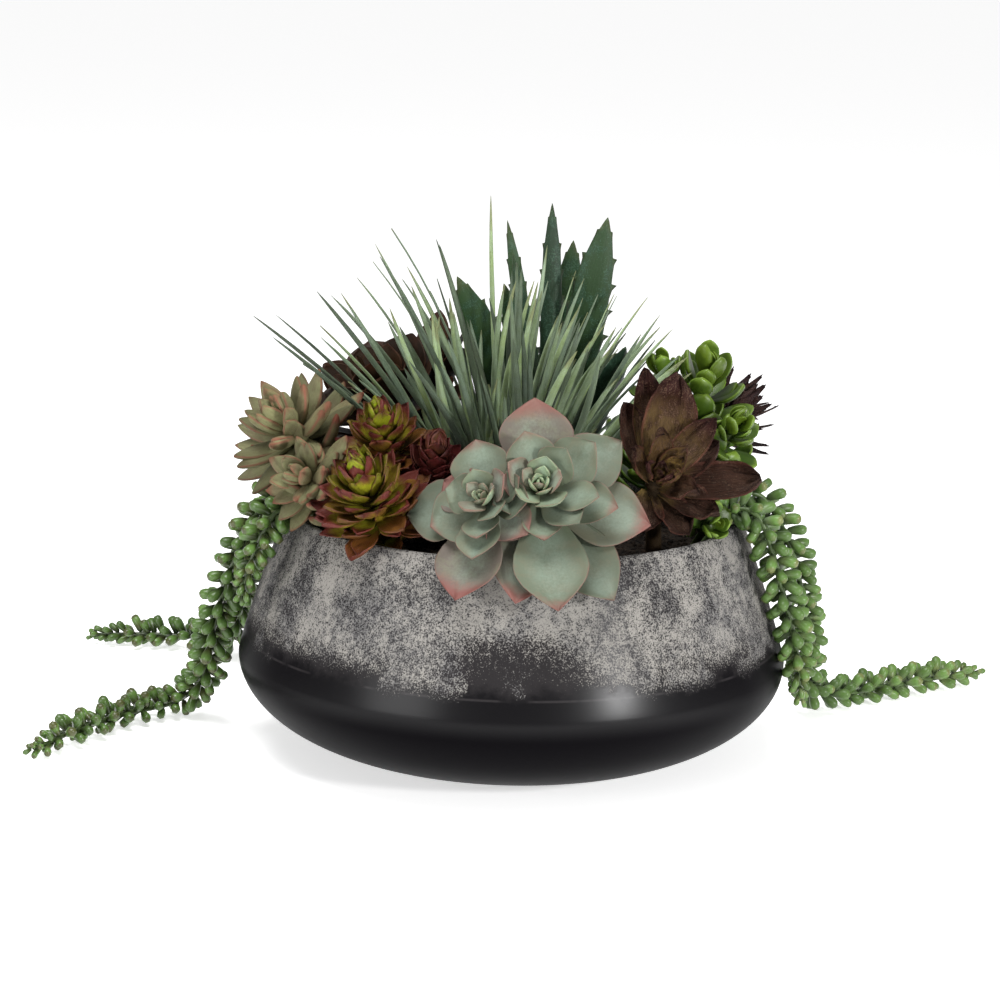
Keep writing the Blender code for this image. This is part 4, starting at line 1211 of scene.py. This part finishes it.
def green_rosettes():
    spoon = Shape(SPOON, SPOON_STOPS, rings=14, sides=14, top=0.12, keel=0.85, wave=0.12)
    # The dark stalk colour is painted shade on the stems under the leaves.
    finish = leaf_paint(
        "waxy_green_leaf",
        heart=(86, 107, 28), body=(60, 80, 21), foot=(42, 62, 15), tip=(88, 110, 36),
        edge=(94, 118, 42), roughness=0.34, tip_from=0.82, edge_from=0.9, edge_share=0.3, streaks=0.2,
        mottle=(42, 66, 17), mottle_share=0.45, other=(46, 70, 19), other_share=0.6, vary=0.3,
        stalk=(46, 60, 20), grain=800, depth=0.0001, specular=0.25,
    )
    for label, sizes in GREEN_STEMS.items():
        rosette(
            "green_rosette_" + label, "green_stem_" + label, spoon, finish, "apple_green",
            fill=sizes["count"] // 2, heart=1, skirt_size=1.25, **sizes,
        )


green_rosettes()


# Purple rosette
# Narrow, thorny leaves, almost black, that stand out at the far right. They close to a head on one stem,
# which is rooted in the mix.

TEETH_END = 0.95
NOTCH = 0.02


def toothed(outline, teeth, depth):
    """The outline with saw teeth: each tooth is a corner that stands out, with a notch after it."""

    def breadth_at(share):
        for (s0, b0), (s1, b1) in zip(outline, outline[1:]):
            if s0 <= share <= s1:
                return b0 + (b1 - b0) * (share - s0) / (s1 - s0)
        return outline[-1][1]

    made = [outline[0]]
    start = outline[0][0]
    for k in range(teeth):
        share = start + (TEETH_END - start) * (k + 1) / (teeth + 0.4)
        made.append((share, breadth_at(share) + depth))
        made.append((share + NOTCH, breadth_at(share + NOTCH) * 0.93))
    return tuple(made)


THORNY_EDGE = toothed(((0.1, 0.6), (0.4, 1.0), (0.7, 0.7), (1.0, 0.1)), 3, 0.35)
THORNY = Form(THORNY_EDGE, FLAT, 0.16, 0.2, (-10, 12), 1.4)
THORNY_STOPS = ((0, 0.4), (0.2, 0.58), (0.45, 0.66), (0.7, 0.48), (0.88, 0.22), (1, 0.01))


def purple_rosette():
    thorny = Shape(THORNY, THORNY_STOPS, sides=12, top=0.5, keel=1.3, power=1.2, wave=0.1, teeth=(4, 1.0))
    finish = leaf_paint(
        "blackish_purple_leaf",
        heart=(54, 36, 32), body=(42, 26, 26), foot=(50, 38, 28), tip=(30, 18, 20),
        edge=(58, 38, 34), roughness=0.42, tip_from=0.7, edge_from=0.9, streaks=1.0,
        mottle=(26, 17, 19), mottle_share=0.5, vary=0.2, stalk=(44, 36, 28), grain=1200, depth=0.0004,
        specular=0.12,
    )
    rosette(
        "purple_rosette", "thorny_purple_head", thorny, finish, "purple_leaf",
        root=(104, 38, 126), head=(116, 28, 185), face=(0.72, -0.15, 0.68), spin=20,
        count=9, outer=(38, 14, 4), inner=(36, 12, 76), out=3.0, depth=12.0, radius=3.2,
        fill=16, fill_size=1.0, heart=2,
    )


purple_rosette()


# Toothed aloe
# Broad dark green leaves with toothed edges and pale flecks, upright behind the blades. They share one
# short, thick stem in the mix.

SAW_EDGE = toothed(((0.06, 0.7), (0.45, 1.0), (0.78, 0.86), (1.0, 0.1)), 3, 0.18)
SAW = Form(SAW_EDGE, FLAT, 0.1, 0.16, (-3, 5), 2.0)
SAW_STOPS = (
    (0, 0.72), (0.06, 0.74), (0.3, 0.95), (0.45, 1.0), (0.78, 0.84), (0.9, 0.52), (0.96, 0.24), (1, 0.03),
)
ALOE_ROOT = (20, 56, 129)
ALOE_STEM = 6.0
ALOE_CROWN_UP = 13.0
ALOE_LEAVES = (
    (90, 87, -1, 166, 13),
    (84, 82, 11, 164, 24),
    (-90, 90, 4, 144, 21),
    (96, 84, -11, 160, 10),
    (104, 80, -13, 145, 9),
    (120, 76, -23, 138, 18),
    (40, 56, 0, 112, 23),
    (125, 54, 0, 110, 24),
    (118, 75, -32, 156, 22),
)


def aloe():
    draw = random.Random(5)
    saw = Shape(SAW, SAW_STOPS, sides=16, top=0.5, keel=1.4, power=1.1, wave=0.06, teeth=(10, 0.3))
    finish = leaf_paint(
        "flecked_dark_green_leaf",
        heart=(29, 47, 35), body=(23, 39, 28), foot=(40, 56, 30), tip=(52, 60, 34),
        edge=(52, 62, 38), roughness=0.38, tip_from=0.94, edge_from=0.96, streaks=0.5,
        mottle=(34, 56, 44), mottle_share=0.5, other=(44, 64, 34), other_share=0.7, flecks=(60, 84, 66),
        vary=0.24, stalk=(46, 56, 32), grain=1200, specular=0.2,
    )
    place = head_frame(ALOE_ROOT, (0, 0.05, 1))
    crown = place @ Matrix.Translation((0, 0, ALOE_CROWN_UP))
    bodies = [stem(ALOE_ROOT, crown.to_translation(), ALOE_STEM), core(crown, 12, 10)]
    sprouts = []
    for k, (azimuth, pitch, lean, length, width) in enumerate(ALOE_LEAVES):
        foot = leaf_frame(crown, azimuth, pitch, ALOE_STEM, -4.0)
        foot = foot @ turn_by(lean if azimuth > 0 else -lean, "Z")
        sprouts.append(Sprout(length, width, foot, k / (len(ALOE_LEAVES) - 1), draw.random()))
    plant("toothed_aloe", "toothed_aloe_leaves", saw, sprouts, bodies, finish)


aloe()


# Tuft of blades
# A dense tuft of narrow grey-green blades in the middle, keeled and drawn out to long points, which opens
# outwards like a fountain from an oval foot. A few blades are yellower.

RIBBON = Form(((0.1, 0.9), (0.7, 0.9)), KEEL, 0.4, 0.0, (6, -16), 1.2)
RIBBON_STOPS = (
    (0, 0.46), (0.3, 0.64), (0.6, 0.66), (0.78, 0.56), (0.9, 0.38), (0.97, 0.18), (1, 0.03),
)
TUFT_ROOT = (-4, -8, 130)
TUFT_STEM = 6.0
TUFT_CROWN_UP = 12.0
TUFT_BLADES = 72
FINE_BLADES = 110
TUFT_RADIUS = 15.5
TUFT_CORE = 20.0
TUFT_OVAL = 2.1
TUFT_PITCHES = (88, 48)
TUFT_FORWARD = 0.6
TUFT_TILT = 4.0
BLADE_LENGTHS = (156, 137)
BLADE_SPREAD = 0.16
BLADE_LEFTWARD = 0.12
BLADE_WIDTH = 5.4
BLADE_ROLL = 55.0
FINE_LENGTHS = (0.4, 0.95)
FINE_WIDTHS = (0.95, 1.3)
FINE_TURNS = (60, 80)
FINE_PITCHES = (-8, 14)
FINE_ROLLS = (-40, 40)


def blade_foot(crown, turn, share):
    """The frame of a blade's foot, on an oval round the crown. Its pitch falls from the middle outwards,
    and less towards the front and the back than to the sides, where it rolls its face to the front."""
    around = math.radians(turn)
    sideways, forward = math.cos(around), math.sin(around)
    out = TUFT_RADIUS * share
    foot = Matrix.Translation((TUFT_OVAL * out * sideways, out * forward, 0))
    middle, edge = TUFT_PITCHES
    pitch = middle + (edge - middle) * share * math.hypot(sideways, TUFT_FORWARD * forward)
    return leaf_frame(crown @ foot, turn, pitch, 0, 2 - 5 * share) @ turn_by(BLADE_ROLL * sideways, "X")


def tuft():
    draw = random.Random(8)
    blade = Shape(RIBBON, RIBBON_STOPS, rings=9, sides=6, top=0.25, keel=0.9, wave=0.3, sway=0.34)
    # The near-black foot and stalk colours are painted shade at the bases of the blades and on the core among
    # them. The pale margins are partly the blades' own and partly a painted highlight along their edges.
    finish = leaf_paint(
        "grey_green_blade",
        heart=(112, 128, 100), body=(92, 109, 86), foot=(14, 20, 9), tip=(104, 110, 78),
        edge=(130, 146, 120), roughness=0.5, tip_from=0.93, tip_vary=0.2, edge_from=0.72, edge_share=0.0,
        streaks=0.9, mottle=(98, 114, 70), mottle_share=0.4, bloom=(142, 158, 142), bloom_share=0.6,
        other=(120, 136, 72), other_share=0.6, vary=0.7, stalk=(12, 17, 8), grain=1000, specular=0.18,
    )
    crown = head_frame(TUFT_ROOT, (0, 0, 1)) @ Matrix.Translation((0, 0, TUFT_CROWN_UP))
    crown = crown @ turn_by(TUFT_TILT, "Y")
    oval = crown @ Matrix.Diagonal((TUFT_OVAL, 1, 1, 1))
    bodies = [stem(TUFT_ROOT, crown.to_translation(), TUFT_STEM), core(oval, TUFT_CORE, 9)]
    middle, edge = BLADE_LENGTHS
    sprouts = []
    for k in range(TUFT_BLADES):
        share = math.sqrt((k + 0.5) / TUFT_BLADES)
        length = (middle + (edge - middle) * share) * (1 - BLADE_SPREAD * (k * 7 % 5) / 4)
        length *= 1 + BLADE_LEFTWARD * math.cos(math.radians(k * GOLDEN_ANGLE))
        foot = blade_foot(crown, k * GOLDEN_ANGLE, share)
        sprouts.append(Sprout(length, BLADE_WIDTH, foot, draw.random(), draw.random()))
    for k in range(FINE_BLADES):
        share = math.sqrt((k + 0.5) / FINE_BLADES)
        length = (middle + (edge - middle) * share) * draw.uniform(*FINE_LENGTHS)
        foot = blade_foot(crown, k * GOLDEN_ANGLE + draw.uniform(*FINE_TURNS), share)
        foot = foot @ turn_by(draw.uniform(*FINE_PITCHES), "Y")
        foot = foot @ turn_by(draw.uniform(*FINE_ROLLS), "X")
        width = BLADE_WIDTH * draw.uniform(*FINE_WIDTHS)
        sprouts.append(Sprout(length, width, foot, draw.random(), draw.random(), added=True))
    plant("blade_tuft", "blade_tuft_blades", blade, sprouts, bodies, finish)


tuft()


# Beaded strands
# Trailing stems that are packed with plump, bean-shaped leaves. They hang over the rim at both sides, and
# the long ones lie along the surface. The leaves are small at the growing tips.

CLUB = Form(((0.3, 0.5), (0.72, 1.0)), FLAT, 0.9, 0.0, (-4, 10))
CLUB_STOPS = (
    (0, 0.3), (0.2, 0.48), (0.45, 0.82), (0.66, 1.0), (0.82, 0.96), (0.93, 0.66), (0.98, 0.36), (1, 0.08),
)
BEAD_LENGTH = 13.0
BEAD_WIDTH = 6.9
BEAD_LEAN = 71.0
BEAD_STEP = 1.75
STRAND_RADIUS = 1.6
TAPER_LENGTH = 64.0
TIP_LENGTH = 32.0
PLAIN_LENGTH = 20.0
BEAD_TURN = 9
BEAD_TILT = 7
BEAD_SIZES = (0.88, 1.04)
TIP_SHARE = 0.35
STRANDS = {
    "strand_left_long": (
        (-100, -20, 126), (-117, -24, 147), (-137, -25, 144), (-155, -17, 110), (-169, 1, 66),
        (-178, 30, 26), (-196, 36, 9), (-222, 12, 8), (-246, -24, 7.5), (-264, -58, 7),
    ),
    "strand_left_back": (
        (-98, 24, 126), (-114, 40, 147), (-130, 58, 143), (-148, 88, 104), (-162, 128, 56),
        (-174, 168, 16), (-196, 186, 8.5), (-232, 190, 8), (-264, 192, 7),
    ),
    "strand_left_short": (
        (-100, -44, 126), (-115, -54, 147), (-131, -61, 144), (-142, -65, 122), (-148, -68, 99),
    ),
    "strand_right_long": (
        (106, 8, 126), (122, 8, 147), (142, 10, 143), (160, 16, 108), (170, 34, 64),
        (176, 66, 22), (194, 86, 9), (224, 106, 8.5), (258, 130, 8), (290, 154, 7),
    ),
    "strand_right_short": (
        (104, -28, 126), (119, -36, 147), (135, -41, 143), (148, -40, 106), (159, -34, 66), (163, -24, 38),
    ),
}


def smooth_path(points, step):
    """Points a step apart along a smooth curve through the given ones (a Catmull-Rom spline)."""
    ends = [points[0] * 2 - points[1]] + points + [points[-1] * 2 - points[-2]]
    fine = []
    for a, b, c, d in zip(ends, ends[1:], ends[2:], ends[3:]):
        for k in range(16):
            t = k / 16
            bend = (2 * a - 5 * b + 4 * c - d) * t * t + (3 * b - a - 3 * c + d) * t * t * t
            fine.append(b + ((c - a) * t + bend) / 2)
    fine.append(points[-1])
    made, left = [fine[0]], step
    for a, b in zip(fine, fine[1:]):
        run = (b - a).length
        at = 0.0
        while run - at >= left:
            at += left
            made.append(a.lerp(b, at / run))
            left = step
        left -= run - at
    return made


def strand(node, route, shape, finish):
    draw = random.Random(node)
    route = [Vector(p) for p in route]
    path = smooth_path(route, BEAD_STEP)
    start = (route[1] - route[0]).normalized()
    last = len(path) - 1
    radii = [
        STRAND_RADIUS * min(1.0, TIP_SHARE + (last - k) * BEAD_STEP / TAPER_LENGTH) for k in range(last + 1)
    ]
    bodies = [tube([route[0] - start * ROOT_DEPTH] + path, [STRAND_RADIUS] + radii, 8)]
    sprouts = []
    side = Vector((0, 0, 1)).cross(start).normalized()
    for k in range(round(PLAIN_LENGTH / BEAD_STEP), last + 1):
        along = (path[min(k + 1, last)] - path[k - 1]).normalized()
        side = (side - along * side.dot(along)).normalized()
        out = turn_by(k * GOLDEN_ANGLE + draw.uniform(-BEAD_TURN, BEAD_TURN), along) @ side
        left = (last - k) * BEAD_STEP
        taper = min(1.0, (left + TIP_LENGTH) / TAPER_LENGTH)
        upright = TIP_SHARE + (1 - TIP_SHARE) * min(1.0, left / TIP_LENGTH)
        lean = math.radians(BEAD_LEAN * upright + draw.uniform(-BEAD_TILT, BEAD_TILT))
        toward = out * math.sin(lean) + along * math.cos(lean)
        across = along.cross(out)
        upward = toward.cross(across)
        place = Matrix((toward, across, upward)).transposed().to_4x4()
        place.translation = path[k] + out * STRAND_RADIUS * 0.5
        size = taper * draw.uniform(*BEAD_SIZES)
        age, chance = (k / last) ** 3, draw.random()
        sprouts.append(Sprout(BEAD_LENGTH * size, BEAD_WIDTH * size, place, age, chance, added=True))
    plant(node, node + "_beads", shape, sprouts, bodies, finish)


def strands():
    club = Shape(CLUB, CLUB_STOPS, rings=5, sides=6)
    # The left strands take a darker copy of the bead finish as painted shade. The right ones take a lighter
    # copy whose bloom is their own and whose lighter greens are painted light.
    shaded = leaf_paint(
        "shaded_bead_green_leaf",
        heart=(72, 88, 36), body=(52, 67, 28), foot=(31, 47, 17), tip=(60, 63, 33),
        edge=(78, 106, 50), roughness=0.3, tip_from=0.84, tip_vary=0.25, edge_from=2.0, streaks=0.1,
        mottle=(52, 54, 30), mottle_share=0.6, bloom=(80, 104, 62), bloom_share=0.3,
        other=(66, 61, 35), other_share=0.85, vary=0.4, stalk=(56, 70, 38), grain=700, depth=0.0001,
        specular=0.4,
    )
    lit_powdery_beads = leaf_paint(
        "lit_powdery_bead_leaf",
        heart=(114, 120, 56), body=(80, 96, 52), foot=(46, 66, 30), tip=(86, 92, 52),
        edge=(78, 106, 50), roughness=0.36, heart_from=0.2, tip_from=0.88, tip_vary=0.2, edge_from=2.0,
        streaks=0.1, mottle=(66, 84, 43), mottle_share=0.5, bloom=(117, 138, 107), bloom_share=0.6,
        other=(88, 92, 54), other_share=0.7, vary=0.34, stalk=(76, 95, 55), grain=700, depth=0.0001,
        specular=0.3,
    )
    for node, route in STRANDS.items():
        strand(node, route, club, lit_powdery_beads if "right" in node else shaded)


strands()


# Studio
# A plain pale sweep with broad soft lights, and the camera at the photograph's height and angle. The unit
# leaves are taken away before the closing lines.

FLOOR_COLOR = (0.92, 0.92, 0.92, 1)
FLOOR_GLOW = 0.58
FLOOR_HALF = 30.0
ROOM_LIGHT = 0.4
CAMERA_TARGET = (-0.0085, 0, 0.1421)
CAMERA_DISTANCE = 1.75
CAMERA_ELEVATION = 12.4
CAMERA_ROLL = 1.4
PHOTO_PIXEL = 0.5625 * MM
PHOTO_PIXELS = 1000
SENSOR_WIDTH = 36.0
LAMPS = {
    "overhead": ((-0.25, -0.4, 1.6), (0, 0, 0.1), (1.1, 0.9), 34),
    "left_front": ((-1.3, -1.3, 0.5), (0, 0, 0.12), (0.9, 0.6), 12),
    "right_front": ((0.98, -1.03, 0.47), (0.05, 0, 0.08), (0.2, 0.14), 16),
}


def floor():
    shape = bmesh.new()
    bmesh.ops.create_grid(shape, x_segments=1, y_segments=1, size=FLOOR_HALF)
    data = bpy.data.meshes.new("floor")
    shape.to_mesh(data)
    shape.free()
    finish = Finish("pale_floor", base_color=FLOOR_COLOR, roughness=0.75, specular=0.2,
                    emission_color=(1, 1, 1, 1), emission_strength=FLOOR_GLOW)
    data.materials.append(finish.material)
    new_object("floor", data)


def soft_light(name, at, toward, size, power):
    """A flat lamp in metres and watts that the camera doesn't see."""
    lamp = bpy.data.lights.new(name, "AREA")
    lamp.shape = "RECTANGLE"
    lamp.size, lamp.size_y = size
    lamp.energy = power
    light = new_object(name, lamp)
    light.visible_camera = False
    light.location = at
    light.rotation_mode = "QUATERNION"
    light.rotation_quaternion = (Vector(toward) - Vector(at)).to_track_quat("-Z", "Y")


def camera():
    low = math.radians(CAMERA_ELEVATION)
    ahead = Vector((0, math.cos(low), -math.sin(low)))
    lens = bpy.data.cameras.new("camera")
    lens.sensor_width = SENSOR_WIDTH
    lens.lens = SENSOR_WIDTH * CAMERA_DISTANCE / (PHOTO_PIXEL * PHOTO_PIXELS)
    made = new_object("camera", lens)
    made.location = Vector(CAMERA_TARGET) - ahead * CAMERA_DISTANCE
    made.rotation_mode = "QUATERNION"
    roll = turn_by(CAMERA_ROLL, "Z").to_quaternion()
    made.rotation_quaternion = ahead.to_track_quat("-Z", "Y") @ roll
    bpy.context.scene.camera = made


def studio():
    floor()
    world = bpy.data.worlds.new("white_room")
    world.use_nodes = True
    world.node_tree.nodes["Background"].inputs["Color"].default_value = (1, 1, 1, 1)
    world.node_tree.nodes["Background"].inputs["Strength"].default_value = ROOM_LIGHT
    bpy.context.scene.world = world
    for name, lamp in LAMPS.items():
        soft_light(name, *lamp)
    bpy.context.scene.view_settings.view_transform = "Standard"
    camera()


studio()
for unit in units:
    bpy.data.objects.remove(unit)
